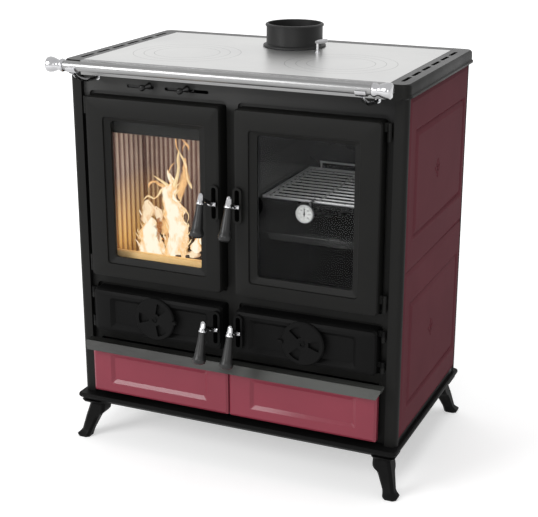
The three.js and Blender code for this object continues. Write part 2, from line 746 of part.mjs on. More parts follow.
function castingBody() {
  const half = halfBody - pillar.width - fitGap;
  const plate = block([-half, half], [castingFace, castingBack], [bodyFoot, bodyHead]);
  const ventTools = doorTools(ventLeaf, ventWindow, ventLatchZ);
  const rightTools = [...doorTools(fireLeaf, ovenWindow, fireLatchZ), ...ventTools];
  const leftTools = [...doorTools(fireLeaf, fireWindow, fireLatchZ), ...ventTools]
    .map((tool) => mirror(tool, -1, 1));
  const mouthRect = {
    u0: -halfBody + sideMargin.mouth, u1: halfBody - sideMargin.mouth,
    v0: plinthTop + footMargin.mouth, v1: plinthTop + footMargin.mouthTop,
  };
  const mouth = frontPrism(roundedShape(mouthRect, mouthCorner), castingBack + cutOver, castingFace - cutOver,
    chamferSteps);
  const lugs = [
    ...hingeFeet(fireDoorFoot, fireDoorTop, fireHingeRise, hinge.barrel)
      .map((foot) => castingLug(foot, hinge.barrel, hinge.pinRise)),
    ...hingeFeet(ventDoorFoot, ventDoorTop, ventHingeRise, ventHinge.barrel)
      .map((foot) => castingLug(foot, ventHinge.barrel, ventHinge.pinRise)),
  ];
  const allLugs = [...lugs, ...lugs.map((lug) => mirror(lug, -1, 1))];
  const leverTools = [...leverSlots.map(leverSlotTool), shutterRoomTool()];
  return join(cut(plate, ...rightTools, ...leftTools, mouth, ...leverTools), ...allLugs);
}

// Air levers: a ball knob on a flared, leaning stem, a neck in the slot, a shutter behind.
const airLever = {
  ball: 7, proud: 21, sweep: 10, tipRise: 2.5, aside: 4, rise: 7, faceGap: 1, neck: 2.4, collar: 7,
  shutterThickness: 2.5, shutterHalf: 11, shutterLeft: 60, shutterRight: 8,
};
const stemShares = [
  // along the stem from the casting, radius over the collar radius
  [0, 0],
  [0, 0.8],
  [0.12, 1],
  [0.3, 0.95],
  [0.55, 0.6],
  [0.8, 0.45],
  [1, 0.45],
  [1, 0],
];

function airLeverBody(slot) {
  const x = -halfBody + slot.start + slot.stand;
  const rootY = castingFace - airLever.collar - airLever.faceGap;
  const root = new THREE.Vector3(x + airLever.aside, rootY, leverLevel + airLever.rise);
  const tip = new THREE.Vector3(x - airLever.sweep, castingFace - airLever.proud, leverLevel + airLever.tipRise);
  const reach = tip.clone().sub(root);
  const profile = stemShares.map(([along, wide]) => [wide * airLever.collar, along * reach.length()]);
  const stem = turned(profile, smallTurn);
  const up = new THREE.Vector3(0, 0, 1);
  stem.applyQuaternion(new THREE.Quaternion().setFromUnitVectors(up, reach.clone().normalize()));
  stem.translate(root.x, root.y, root.z);
  const ball = new THREE.SphereGeometry(airLever.ball, smallTurn, smallTurn / 2);
  ball.translate(tip.x, tip.y, tip.z);
  const shutterFace = castingFace + leverBand.web + fitGap + slot.layer * (airLever.shutterThickness + fitGap);
  const shutterBack = shutterFace + airLever.shutterThickness;
  const neck = rod([x, rootY, leverLevel], [x, shutterBack, leverLevel], airLever.neck);
  const shutter = block([x - airLever.shutterLeft, x + airLever.shutterRight], [shutterFace, shutterBack],
    [leverLevel - airLever.shutterHalf, leverLevel + airLever.shutterHalf]);
  return join(ball, stem, neck, shutter);
}

// Back: a vented sheet between two rear corner angles.
const back = { thickness: 3, ventWidth: 60, ventHeight: 7, ventPitch: 16, ventTop: 70 };
const ventRows = 3;
const ventColumns = 3;

function backBody() {
  const half = halfBody - pillar.width + cutOver;
  const plate = block([-half, half], [pillarBack - back.thickness, pillarBack], [bodyFoot, bodyHead]);
  const corner = pillarBody(pillarBack, -1, pillarBack - pillar.corner - pillar.flange);
  const columnPitch = 2 * half / (ventColumns + 1);
  const vents = [];
  for (let column = 1; column <= ventColumns; column += 1) {
    for (let row = 0; row < ventRows; row += 1) {
      const x = -half + column * columnPitch;
      const z = bodyHead - back.ventTop - row * back.ventPitch;
      const rect = { u0: x - back.ventWidth / 2, u1: x + back.ventWidth / 2, v0: z, v1: z + back.ventHeight };
      vents.push(frontPrism(roundedShape(rect, back.ventHeight / 2), pillarBack + cutOver,
        pillarBack - back.thickness - cutOver, coarseSteps));
    }
  }
  return cut(join(plate, corner, mirror(corner, -1, 1)), ...vents);
}

// Chambers behind the doors: a ribbed fireproof liner left, a steel oven box right.
const chamber = {
  inner: 36, ovenInner: 26, backGap: 76, topGap: 84, floorDrop: 7, floorThickness: 8, fireDepth: 160,
};
const ovenWall = 4;
const linerWall = 10;
const rib = { radius: 3.8, pitch: 11.6, sideRadius: 6, sidePitch: 20.5, stop: 14 };
const logStop = { height: 46, thickness: 12 };
const grateHole = { width: 150, depth: 92, ledge: 8 };
const flameHole = { width: 150, depth: 60, setIn: 40 };
const runner = { width: 7, thickness: 3 };
const runnerShares = { low: 0.2966, high: 0.6929 };
const chamberFront = castingBack + fitGap;
const chamberOuter = halfBody - sideMargin.chamber;
const chamberBack = pillarBack - chamber.backGap;
const chamberFoot = plinthTop + footMargin.chamber;
const chamberTop = hobHeight - chamber.topGap;
const chamberFloor = fireDoorFoot - chamber.floorDrop;
const chamberDeck = chamberFloor + chamber.floorThickness;
const fireBack = chamberFront + chamber.fireDepth;
const ovenLeft = chamber.ovenInner + ovenWall;
const ovenRight = chamberOuter - ovenWall;
const lowerRunner = fireDoorFoot + runnerShares.low * (chamberTop - fireDoorFoot);
const upperRunner = fireDoorFoot + runnerShares.high * (chamberTop - fireDoorFoot);
const rackLevel = (lowerRunner + upperRunner) / 2;

// A box with an open front, between two levels.
function chamberShell(inner, wall, floor, backPlane, level) {
  const shell = block([inner, chamberOuter], [chamberFront, backPlane], level);
  const room = block([inner + wall, chamberOuter - wall],
    [chamberFront - cutOver, backPlane - wall], [level[0] + floor, level[1] - wall]);
  return cut(shell, room);
}

function linerRibs() {
  const foot = chamberDeck - cutOver;
  const head = chamberTop - linerWall - rib.stop;
  const ribs = [];
  const rearFace = fireBack - linerWall;
  const left = chamber.inner + linerWall;
  const right = chamberOuter - linerWall;
  const count = Math.floor((right - left - rib.pitch) / rib.pitch);
  const start = (left + right - count * rib.pitch) / 2;
  for (let i = 0; i <= count; i += 1) {
    const x = start + i * rib.pitch;
    ribs.push(rod([x, rearFace, foot], [x, rearFace, head], rib.radius, slimTurn));
  }
  const sideCount = Math.floor((rearFace - chamberFront - logStop.thickness - rib.sidePitch) / rib.sidePitch);
  for (let i = 1; i <= sideCount; i += 1) {
    const y = rearFace - i * rib.sidePitch;
    ribs.push(rod([left, y, foot], [left, y, head], rib.sideRadius, wireTurn));
    ribs.push(rod([right, y, foot], [right, y, head], rib.sideRadius, wireTurn));
  }
  return ribs;
}

const grateX = (chamber.inner + chamberOuter) / 2;
const grateY = (chamberFront + logStop.thickness + fireBack - linerWall) / 2;
const grateSeat = chamberFloor + chamber.floorThickness / 2;

function linerBody() {
  const hx = grateHole.width / 2;
  const hy = grateHole.depth / 2;
  const inner = chamber.inner;
  const fireBox = chamberShell(inner, linerWall, chamber.floorThickness, fireBack, [chamberFloor, chamberTop]);
  const ashLevel = [chamberFoot, chamberFloor + linerWall / 2];
  const ashBox = chamberShell(inner, linerWall, linerWall, chamberBack, ashLevel);
  const stop = block([chamber.inner + linerWall - cutOver, chamberOuter - linerWall + cutOver],
    [chamberFront, chamberFront + logStop.thickness], [chamberDeck - cutOver, chamberDeck + logStop.height]);
  const drop = block([grateX - hx, grateX + hx], [grateY - hy, grateY + hy],
    [chamberFloor - linerWall, chamberDeck + cutOver]);
  const ledge = block([grateX - hx - grateHole.ledge, grateX + hx + grateHole.ledge],
    [grateY - hy - grateHole.ledge, grateY + hy + grateHole.ledge], [grateSeat, chamberDeck + cutOver]);
  const flame = block([grateX - flameHole.width / 2, grateX + flameHole.width / 2],
    [fireBack - flameHole.setIn - flameHole.depth, fireBack - flameHole.setIn],
    [chamberTop - linerWall - cutOver, chamberTop + cutOver]);
  return mirror(cut(join(fireBox, ashBox, stop, ...linerRibs()), drop, ledge, flame), -1, 1);
}

// Fire grate: a loose cast plate of long slots dropped into the liner floor.
const grate = { thickness: 12, slotWidth: 8, slotPitch: 16, rim: 14 };

function grateBody() {
  const hx = grateHole.width / 2 + grateHole.ledge - fitGap;
  const hy = grateHole.depth / 2 + grateHole.ledge - fitGap;
  const base = grateSeat + fitGap;
  const plate = block([grateX - hx, grateX + hx], [grateY - hy, grateY + hy], [base, base + grate.thickness]);
  const slots = [];
  const reach = hx - grate.rim;
  const count = Math.floor((2 * hy - 2 * grate.rim) / grate.slotPitch);
  for (let i = 0; i < count; i += 1) {
    const y = grateY - (count - 1) * grate.slotPitch / 2 + i * grate.slotPitch;
    for (const [from, to] of [[-reach, -grate.slotWidth / 2], [grate.slotWidth / 2, reach]]) {
      slots.push(block([grateX + from, grateX + to], [y - grate.slotWidth / 2, y + grate.slotWidth / 2],
        [base - cutOver, base + grate.thickness + cutOver]));
    }
  }
  return mirror(cut(plate, ...slots), -1, 1);
}

// Ash pan: a tapered sheet tray with a rolled rim and a bail grip at the front.
const ashPan = {
  wall: 2, height: 62, taper: 5, sideGap: 14, frontGap: 26, rearGap: 20, rim: 5, gripWidth: 60,
};
const panCorner = 2;

function panShell(rect, base, height, taper, wall, rim) {
  const outer = inset(rect, rim);
  return loft([
    ring(inset(outer, taper), panCorner, base, onPlan, chamferSteps),
    ring(outer, panCorner, base + height - wall, onPlan, chamferSteps),
    ring(rect, panCorner, base + height - wall, onPlan, chamferSteps),
    ring(rect, panCorner, base + height, onPlan, chamferSteps),
    ring(inset(outer, wall), panCorner, base + height, onPlan, chamferSteps),
    ring(inset(outer, taper + wall), panCorner, base + wall, onPlan, chamferSteps),
  ]);
}

function ashPanBody() {
  const rect = {
    u0: chamber.inner + linerWall + ashPan.sideGap, u1: chamberOuter - linerWall - ashPan.sideGap,
    v0: chamberFront + ashPan.frontGap, v1: chamberBack - linerWall - ashPan.rearGap,
  };
  const base = chamberFoot + linerWall + fitGap;
  const gripZ = base + ashPan.height - ashPan.wall;
  const x = (rect.u0 + rect.u1) / 2;
  const half = ashPan.gripWidth / 2;
  const lug = ashPan.rim * 2;
  const grab = [
    rod([x - half, rect.v0 + cutOver, gripZ], [x - half, rect.v0 - lug, gripZ], ashPan.wall, slimTurn),
    rod([x + half, rect.v0 + cutOver, gripZ], [x + half, rect.v0 - lug, gripZ], ashPan.wall, slimTurn),
    rod([x - half - ashPan.wall, rect.v0 - lug, gripZ], [x + half + ashPan.wall, rect.v0 - lug, gripZ],
      ashPan.wall, slimTurn),
  ];
  const shell = panShell(rect, base, ashPan.height, ashPan.taper, ashPan.wall, ashPan.rim);
  return mirror(join(shell, ...grab), -1, 1);
}

// Oven box: two steel rooms with three pairs of side ledges for rack and tray.
function muffleBody() {
  const ledgeReach = [chamberFront + runner.width, chamberBack - ovenWall - runner.width];
  const rackLedge = rackLevel - rack.wire - runner.thickness - fitGap;
  const ledges = [lowerRunner, rackLedge, upperRunner].flatMap((level) => [
    block([ovenLeft - cutOver, ovenLeft + runner.width], ledgeReach, [level, level + runner.thickness]),
    block([ovenRight - runner.width, ovenRight + cutOver], ledgeReach, [level, level + runner.thickness]),
  ]);
  const inner = chamber.ovenInner;
  const oven = chamberShell(inner, ovenWall, chamber.floorThickness, chamberBack, [chamberFloor, chamberTop]);
  const storeLevel = [chamberFoot, chamberFloor + ovenWall / 2];
  const store = chamberShell(inner, ovenWall, ovenWall, chamberBack, storeLevel);
  return join(oven, store, ...ledges);
}

// Oven rack: a wire frame with cross wires, an upstand at the back and one long strut.
const rack = {
  wire: 3.2, thin: 2.2, sideGap: 2, front: 70, rear: 8, upstand: 17, upstandInset: 27, pair: 13, strut: 119,
};
const crossWires = 10;

function rackBody() {
  const x0 = ovenLeft + rack.sideGap + rack.wire;
  const x1 = ovenRight - rack.sideGap - rack.wire;
  const guard = [x0 + rack.upstandInset, x1 - rack.upstandInset];
  const y0 = castingBack + rack.front - rack.wire;
  const y1 = chamberBack - ovenWall - rack.rear - rack.wire;
  const sides = wireTurn;
  const bars = [
    rod([x0 - rack.wire, y0, rackLevel], [x1 + rack.wire, y0, rackLevel], rack.wire, sides),
    rod([x0 - rack.wire, y1, rackLevel], [x1 + rack.wire, y1, rackLevel], rack.wire, sides),
    rod([x0, y0, rackLevel], [x0, y1, rackLevel], rack.wire, sides),
    rod([x1, y0, rackLevel], [x1, y1, rackLevel], rack.wire, sides),
    rod([x0 + rack.pair, y0, rackLevel], [x0 + rack.pair, y1, rackLevel], rack.thin, sides),
    rod([x0 + rack.strut, y0, rackLevel], [x0 + rack.strut, y1, rackLevel], rack.thin, sides),
    rod([guard[0], y1, rackLevel], [guard[0], y1, rackLevel + rack.upstand], rack.thin, sides),
    rod([guard[1], y1, rackLevel], [guard[1], y1, rackLevel + rack.upstand], rack.thin, sides),
    rod([guard[0] - rack.thin, y1, rackLevel + rack.upstand], [guard[1] + rack.thin, y1, rackLevel + rack.upstand],
      rack.thin, sides),
  ];
  for (let i = 1; i <= crossWires; i += 1) {
    const y = y0 + i * (y1 - y0) / (crossWires + 1);
    bars.push(rod([x0, y, rackLevel], [x1, y, rackLevel], rack.thin, sides));
  }
  return join(...bars);
}

// Baking tray: a shallow sheet pan resting on the lower pair of ledges.
const tray = { height: 20, wall: 1.5, taper: 5, rim: 12, sideGap: 1.5, front: 44, rear: 10 };

function trayBody() {
  const rect = {
    u0: ovenLeft + tray.sideGap, u1: ovenRight - tray.sideGap,
    v0: castingBack + tray.front, v1: chamberBack - ovenWall - tray.rear,
  };
  const base = lowerRunner + runner.thickness + fitGap - tray.height + tray.wall;
  return panShell(rect, base, tray.height, tray.taper, tray.wall, tray.rim);
}

// Oven thermometer: a round case hung on the rack's front bar by a bent strap.
const dial = {
  radius: 19.5, depth: 11, bezel: 2.5, sunk: 2, pin: 1,
  needleLength: 13.5, needleWidth: 2.6, needleThickness: 0.8,
};
const dialSpot = { fromWall: 107, drop: 20, ahead: 20 };
const strap = { width: 5, shift: 9, thickness: 1.6, lift: 4 };
const dialX = ovenLeft + dialSpot.fromWall;
const dialZ = rackLevel - dialSpot.drop;
const dialBack = castingBack + rack.front - rack.wire - dialSpot.ahead;
const dialFront = dialBack - dial.depth;

function dialCase() {
  const body = turned([
    [0, -dialBack],
    [dial.radius - dial.bezel, -dialBack],
    [dial.radius, -dialBack + dial.bezel],
    [dial.radius, -dialFront - dial.bezel / 2],
    [dial.radius - dial.bezel / 2, -dialFront],
    [dial.radius - dial.bezel, -dialFront],
    [dial.radius - dial.bezel, -dialFront - dial.sunk],
    [dial.pin, -dialFront - dial.sunk],
    [dial.pin, -dialFront - dial.needleThickness - 2 * fitGap],
    [0, -dialFront - dial.needleThickness - 2 * fitGap],
  ], fineTurn);
  body.rotateX(degrees(quarter)).translate(dialX, 0, dialZ);
  const barY = castingBack + rack.front - rack.wire;
  const reach = rack.wire + fitGap;
  const top = rackLevel + reach;
  const line = strap.thickness;
  const bend = polygon([
    [dialBack - line / 2, dialZ],
    [dialBack + line, dialZ],
    [dialBack + line, top - line],
    [barY - reach - line, top - line],
    [barY - reach, top],
    [barY + reach, top],
    [barY + reach, rackLevel - strap.lift],
    [barY + reach + line, rackLevel - strap.lift],
    [barY + reach + line, top + line],
    [barY - reach - line, top + line],
    [barY - reach - line * 2, top],
    [dialBack - line / 2, top],
  ]);
  const strapX = dialX + strap.shift;
  return join(body, sidePrism(bend, strapX - strap.width / 2, strapX + strap.width / 2));
}

function needleBody() {
  const front = dialFront + fitGap;
  const backFace = front + dial.needleThickness;
  const hub = rod([0, backFace, 0], [0, front, 0], dial.pin * 2, smallTurn);
  const hand = frontPrism(polygon([
    [-dial.needleWidth / 2, 0],
    [0, -dial.needleLength / 2],
    [dial.needleWidth / 2, 0],
    [0, dial.needleLength],
  ]), backFace, front);
  return join(hub, hand).translate(dialX, 0, dialZ);
}

// Hob: a steel plate dropped between slotted cheeks, a front bar and a rear bar.
const hob = { thickness: 6, ledge: 8, ledgeDrop: 8, sideInset: 41, barFront: 13, barRear: 31 };
const cheek = { corner: 16, slotLength: 50, slotWidth: 8, slotPitch: 65, slotInset: 23.5 };
const cheekSlots = 6;
const cheekShares = [
  // height, how far the moulded edge stands in from the lip
  [0, 1],
  [0.1, 0.85],
  [0.13, 0.05],
  [0.27, 0],
  [0.33, 0.3],
  [0.62, 0.3],
  [0.8, 0.34],
  [0.93, 0.45],
  [1, 0.75],
];
const cheekMould = 10;
const lipOverhang = 5;
const plateFront = -halfTopDepth + hob.barFront;
const plateRear = halfTopDepth - hob.barRear;
const plateHalf = halfTopWidth - hob.sideInset;

function cheekBody() {
  const outline = {
    u0: 0, u1: halfTopWidth + lipOverhang, v0: -halfTopDepth, v1: halfTopDepth,
  };
  const slab = loft(cheekShares.map(([rise, draw]) => ring(
    { ...outline, u1: outline.u1 - draw * cheekMould }, cheek.corner, rimUnderside + rise * rimHeight, onPlan,
    cheekSteps)));
  const inner = plateHalf + fitGap;
  const plateSeat = hobHeight - hob.thickness - fitGap;
  const ends = [-halfTopDepth - cutOver, halfTopDepth + cutOver];
  const tools = [
    block([-cutOver, inner], ends, [plateSeat, hobHeight + cutOver]),
    block([-cutOver, inner - hob.ledge], ends, [rimUnderside - cutOver, hobHeight + cutOver]),
    block([-cutOver, inner], [ends[0], plateFront + hob.ledge + fitGap],
      [rimUnderside - cutOver, hobHeight + cutOver]),
    block([-cutOver, inner], [plateRear - hob.ledge - fitGap, ends[1]],
      [rimUnderside - cutOver, hobHeight + cutOver]),
  ];
  const slotX = halfTopWidth - cheek.slotInset;
  for (let i = 0; i < cheekSlots; i += 1) {
    const y = (plateFront + plateRear) / 2 + (i - (cheekSlots - 1) / 2) * cheek.slotPitch;
    const rect = { u0: slotX - cheek.slotWidth / 2, u1: slotX + cheek.slotWidth / 2,
      v0: y - cheek.slotLength / 2, v1: y + cheek.slotLength / 2 };
    tools.push(planPrism(roundedShape(rect, cheek.slotWidth / 2), rimUnderside - cutOver, hobHeight + cutOver,
      coarseSteps));
  }
  return cut(slab, ...tools);
}

function barBody(yFace, yPlate) {
  const sign = Math.sign(yFace);
  const seat = hobHeight - hob.thickness - fitGap;
  const section = polygon([
    [yFace, rimUnderside],
    [yFace, hobHeight],
    [yPlate, hobHeight],
    [yPlate, seat],
    [yPlate - sign * hob.ledge, seat],
    [yPlate - sign * hob.ledge, seat - hob.ledgeDrop],
    [yPlate, seat - hob.ledgeDrop],
    [yPlate, rimUnderside],
  ]);
  return sidePrism(section, -plateHalf, plateHalf);
}

const flue = { fromRear: 109, flange: 69.7, flangeThickness: 4, tube: 62.2, wall: 4, height: 50, rim: 2.4 };
const flueY = halfTopDepth - flue.fromRear;
const damper = {
  aside: 80, ahead: 66, stem: 3, rise: 27, gripLength: 31, gripHalf: 4.5,
  plateWidth: 44, plateLength: 96, plateThickness: 3, drop: 16,
};
const damperDirection = 67.5;
const damperY = flueY - damper.ahead;
const damperShares = [
  // along the grip from the stem, half thickness over the full one
  [-0.15, 0.55],
  [0, 0.85],
  [0.2, 1],
  [0.7, 1],
  [0.9, 0.8],
  [1, 0.35],
];

function hobBody() {
  const plate = block([-plateHalf + fitGap, plateHalf - fitGap],
    [plateFront + fitGap, plateRear - fitGap], [hobHeight - hob.thickness, hobHeight]);
  const smoke = rod([0, flueY, hobHeight - hob.thickness - cutOver], [0, flueY, hobHeight + cutOver],
    flue.tube - flue.wall, fineTurn);
  const stemHole = rod([damper.aside, damperY, hobHeight - hob.thickness - cutOver],
    [damper.aside, damperY, hobHeight + cutOver], damper.stem + fitGap);
  return cut(plate, smoke, stemHole);
}

// Flue collar: a flanged cast spigot with a rolled rim.
function collarBody() {
  const base = hobHeight + fitGap;
  const top = base + flue.height;
  const bore = flue.tube - flue.wall;
  const profile = [
    [bore, base],
    [flue.flange - flue.rim / 2, base],
    [flue.flange, base + flue.rim / 2],
    [flue.flange - flue.rim / 2, base + flue.flangeThickness],
    [flue.tube, base + flue.flangeThickness + flue.rim],
    [flue.tube, top - 2 * flue.rim],
    [flue.tube + flue.rim, top - 2 * flue.rim],
    [flue.tube + flue.rim, top - flue.rim],
    [flue.tube, top],
    [bore, top],
    [bore, base],
  ];
  return turned(profile, fineTurn).translate(0, flueY, 0);
}

function damperBody() {
  const low = hobHeight - hob.thickness - damper.drop;
  const high = hobHeight + damper.rise - damper.gripHalf;
  const stem = rod([0, 0, low], [0, 0, high], damper.stem);
  const collar = rod([0, 0, hobHeight + fitGap], [0, 0, hobHeight + damper.stem], 2 * damper.stem);
  const gripBar = loft(damperShares.map(([along, wide]) => {
    const half = wide * damper.gripHalf;
    const rect = { u0: -half, u1: half, v0: high - half, v1: high + half };
    return ring(rect, half / 2, along * damper.gripLength, onSide);
  })).rotateZ(degrees(damperDirection));
  const flap = block([-damper.plateLength / 2, damper.plateLength / 2],
    [-damper.plateWidth / 2, damper.plateWidth / 2], [low, low + damper.plateThickness]);
  return join(stem, collar, gripBar, flap).translate(damper.aside, damperY, 0);
}

// Guard rail: a steel tube, turned end caps and two claw brackets.
const rail = { ahead: 70, lift: 0.5, radius: 10, wall: 1.5, tubeInset: 48, capInset: 9.5, bracketInset: 67 };
const railY = -halfTopDepth - rail.ahead;
const railLevel = hobHeight + rail.lift;
const railHalf = halfTopWidth - rail.tubeInset;
const bracketX = halfTopWidth - rail.bracketInset;
const capShares = [
  // along the cap, radius over the rail radius
  [0, 1.05],
  [0.05, 1.3],
  [0.14, 1.35],
  [0.22, 1.15],
  [0.34, 1.05],
  [0.48, 1.25],
  [0.66, 1.5],
  [0.88, 1.6],
  [0.96, 1.5],
  [1, 1.2],
  [1, 0],
];
const bracket = {
  half: 10.5, wall: 3.5, armRadius: 3.7, foot: 6, footThickness: 3,
  dropBelow: 37, sag: 2.5, lean: 22, run: 56,
};
const armSteps = 7;
const armTurn = 4;

function railBody() {
  return cut(
    rod([-railHalf, railY, railLevel], [railHalf, railY, railLevel], rail.radius, roundTurn),
    rod([-railHalf - cutOver, railY, railLevel], [railHalf + cutOver, railY, railLevel],
      rail.radius - rail.wall, smallTurn));
}

function capBody() {
  const length = rail.tubeInset - rail.capInset - fitGap;
  const profile = [[0, 0], ...capShares.map(([along, wide]) => [wide * rail.radius, along * length])];
  return turned(profile, roundTurn).rotateY(degrees(quarter)).translate(railHalf + fitGap, railY, railLevel);
}

function bracketBody() {
  const footZ = hobHeight - bracket.dropBelow;
  const footY = castingFace - fitGap;
  const under = railLevel - rail.radius - bracket.wall;
  const curve = new THREE.CubicBezierCurve3(
    new THREE.Vector3(bracketX, railY, under),
    new THREE.Vector3(bracketX, railY + bracket.lean, footZ + bracket.sag),
    new THREE.Vector3(bracketX, railY + bracket.run, footZ - bracket.sag),
    new THREE.Vector3(bracketX, footY - bracket.footThickness / 2, footZ));
  const round = new THREE.Shape().absarc(0, 0, bracket.armRadius, 0, degrees(4 * quarter));
  const bend = { steps: armSteps, extrudePath: curve, curveSegments: armTurn };
  const arm = new THREE.ExtrudeGeometry(round, bend);
  const ends = [bracketX - bracket.half, bracketX + bracket.half];
  const shell = rod([ends[0], railY, railLevel], [ends[1], railY, railLevel],
    rail.radius + bracket.wall, roundTurn);
  const openTop = block([ends[0] - cutOver, ends[1] + cutOver],
    [railY - 2 * rail.radius, railY + 2 * rail.radius], [railLevel - cutOver, railLevel + 2 * rail.radius]);
  const saddle = cut(shell, openTop);
  const foot = rod([bracketX, footY, footZ], [bracketX, footY - bracket.footThickness, footZ], bracket.foot,
    roundTurn);
  const bore = rod([ends[0] - cutOver, railY, railLevel], [ends[1] + cutOver, railY, railLevel],
    rail.radius + fitGap, roundTurn);
  return cut(join(arm, saddle, foot), bore);
}

// Wood drawer: a sheet box on two rails, two panelled fronts and a folded grip strip.
const drawer = {
  half: halfBody - sideMargin.drawer, proud: 17.7, backGap: 36, wall: 2,
  foot: plinthTop + footMargin.drawer, top: plinthTop + footMargin.drawerTop,
};
const drawerFront = castingFace - drawer.proud;
const drawerPanel = { inner: 1.5, proud: 32, edgeRun: 5, edgeDrop: 3, bevelRun: 8, bevelDrop: 5 };
const panelField = { inner: 48, outer: 44, top: 14, foot: 24 };
const strip = { lean: 11, proud: 41, thickness: 2, mitre: 8, fold: 5 };
const drawerRail = { inset: 19, half: 4, setIn: 20, backGap: 26 };
const drawerRailX = drawer.half - drawerRail.inset;

function drawerBox() {
  const drawerBack = pillarBack - drawer.backGap;
  const box = block([-drawer.half, drawer.half], [drawerFront, drawerBack], [drawer.foot, drawer.top]);
  const inside = block([-drawer.half + drawer.wall, drawer.half - drawer.wall],
    [drawerFront + drawer.wall, drawerBack - drawer.wall], [drawer.foot + drawer.wall, drawer.top + cutOver]);
  const face = block([-drawer.half, drawer.half], [drawerFront, drawerFront + drawer.wall],
    [drawer.foot, plinthTop + footMargin.frontTop]);
  return join(cut(box, inside), face);
}

function drawerPanelBody() {
  const outer = {
    u0: drawerPanel.inner, u1: halfBody - sideMargin.panel, v0: plinthTop + footMargin.panel, v1: drawer.top,
  };
  const edge = marginRect(outer, panelField);
  const face = castingFace - drawerPanel.proud;
  const r = leaf.corner / 2;
  return loft([
    ring(outer, r, drawerFront - fitGap, onFront),
    ring(outer, r, face + drawerPanel.edgeDrop, onFront),
    ring(inset(outer, drawerPanel.edgeRun), r, face, onFront),
    ring(edge, r, face, onFront),
    ring(inset(edge, drawerPanel.bevelRun), r, face + drawerPanel.bevelDrop, onFront),
  ]);
}

function stripBody() {
  const t = strip.thickness;
  const back = drawerFront - fitGap;
  const topFace = castingFace - strip.proud;
  const underLip = topFace - strip.lean;
  const top = plinthTop + footMargin.stripTop;
  const lip = plinthTop + footMargin.strip;
  const half = halfBody - sideMargin.strip;
  const section = polygon([
    [back, drawer.top + fitGap],
    [back, top],
    [topFace, top],
    [underLip, lip],
    [underLip + strip.fold, lip],
    [underLip + strip.fold, lip + t],
    [underLip + t + t / 2, lip + t],
    [topFace + t / 2, top - t],
    [back - t, top - t],
    [back - t, drawer.top + fitGap],
  ]);
  const body = sidePrism(section, -half, half);
  const corner = (side) => frontPrism(polygon([
    [side * (half + cutOver), top - t],
    [side * (half - strip.mitre), lip - cutOver],
    [side * (half + cutOver), lip - cutOver],
  ]), back + cutOver, underLip - cutOver);
  return cut(body, corner(-1), corner(1));
}

// Assemble the stove: the left half mirrors the right half.
for (const [row, alongY] of [['front', 1], ['rear', -1]]) {
  for (const [side, alongX] of [['left', -1], ['right', 1]]) {
    addPiece(`leg_${row}_${side}`, mirror(legBody(), alongX, -alongY), cast);
  }
}
addPiece('plinth_frame', plinthBody(), cast);
addPiece('front_frame', castingBody(), cast);
addPiece('back_panel', backBody(), sheet);

for (const [side, alongX] of [['left', -1], ['right', 1]]) {
  addPiece(`pillar_front_${side}`, mirror(pillarBody(pillarFace, 1, castingBack), alongX, 1), cast);
  addPiece(`side_panel_lower_${side}`, mirror(sidePanelBody(panelFoot, panelJoint - jointGap / 2,
    sideFrame.lowerFoot, sideFrame.lowerTop), alongX, 1), enamel);
  addPiece(`side_panel_upper_${side}`, mirror(sidePanelBody(panelJoint + jointGap / 2, bodyHead,
    sideFrame.foot, sideFrame.top), alongX, 1), enamel);
  addPiece(`top_cheek_${side}`, mirror(cheekBody(), alongX, 1), cast);
  addPiece(`rail_end_${side}`, mirror(capBody(), alongX, 1), chrome);
  addPiece(`rail_bracket_${side}`, mirror(bracketBody(), alongX, 1), chrome);
  addPiece(`drawer_panel_${side}`, mirror(drawerPanelBody(), alongX, 1), enamel);
}
addPiece('hob_plate', hobBody(), steel);
addPiece('top_front_bar', barBody(-halfTopDepth, plateFront), steel);
addPiece('top_rear_bar', barBody(halfTopDepth, plateRear), cast);
addPiece('flue_collar', collarBody(), cast);
addPiece('damper_lever', damperBody(), chrome);
addPiece('rail_tube', railBody(), steel);

for (const [room, alongX] of [['firebox', -1], ['oven', 1]]) {
  addPiece(`${room}_door`, mirror(glazedLeaf(), alongX, 1), cast);
  addPiece(`${room}_glass`, mirror(paneBody(), alongX, 1), glass);
  addPiece(`${room}_glass_frame`, mirror(retainerBody(), alongX, 1), sheet);
  addPiece(`${room}_door_gasket`, mirror(gasketBody(), alongX, 1), sheet);
}
for (const [door, alongX] of [['ash_door', -1], ['lower_oven_door', 1]]) {
  addPiece(door, mirror(ventLeafBody(), alongX, 1), cast);
}
for (const [side, alongX] of [['left', -1], ['right', 1]]) {
  addPiece(`air_register_${side}`, mirror(registerBody(), alongX, 1), cast);
  addPiece(`latch_lever_upper_${side}`, mirror(latchLever(fireLatchZ), alongX, 1), chrome);
  addPiece(`latch_lever_lower_${side}`, mirror(latchLever(ventLatchZ), alongX, 1), chrome);
  addPiece(`latch_grip_upper_${side}`, mirror(latchGrip(fireLatchZ), alongX, 1), gripBlack);
  addPiece(`latch_grip_lower_${side}`, mirror(latchGrip(ventLatchZ), alongX, 1), gripBlack);
}
addPiece('firebox_liner', linerBody(), firebrick);
addPiece('fire_grate', grateBody(), cast);
addPiece('ash_pan', ashPanBody(), sheet);
addPiece('oven_box', muffleBody(), sheet);
addPiece('oven_rack', rackBody(), chrome);
addPiece('baking_tray', trayBody(), sheet);
addPiece('thermometer_case', dialCase(), dialWhite);
addPiece('thermometer_needle', needleBody(), cast);
addPiece('wood_drawer_box', drawerBox(), sheet);
addPiece('drawer_grip_strip', stripBody(), steel);
addPiece('air_lever_inner', airLeverBody(leverSlots[1]), chrome);
addPiece('air_lever_outer', airLeverBody(leverSlots[0]), chrome);

// Stand the stove on the floor with its outline centred on the origin.
const outline = new THREE.Box3().setFromObject(stove);
const middle = outline.getCenter(new THREE.Vector3());
stove.position.set(-middle.x, -middle.y, -outline.min.z);

export default stove;
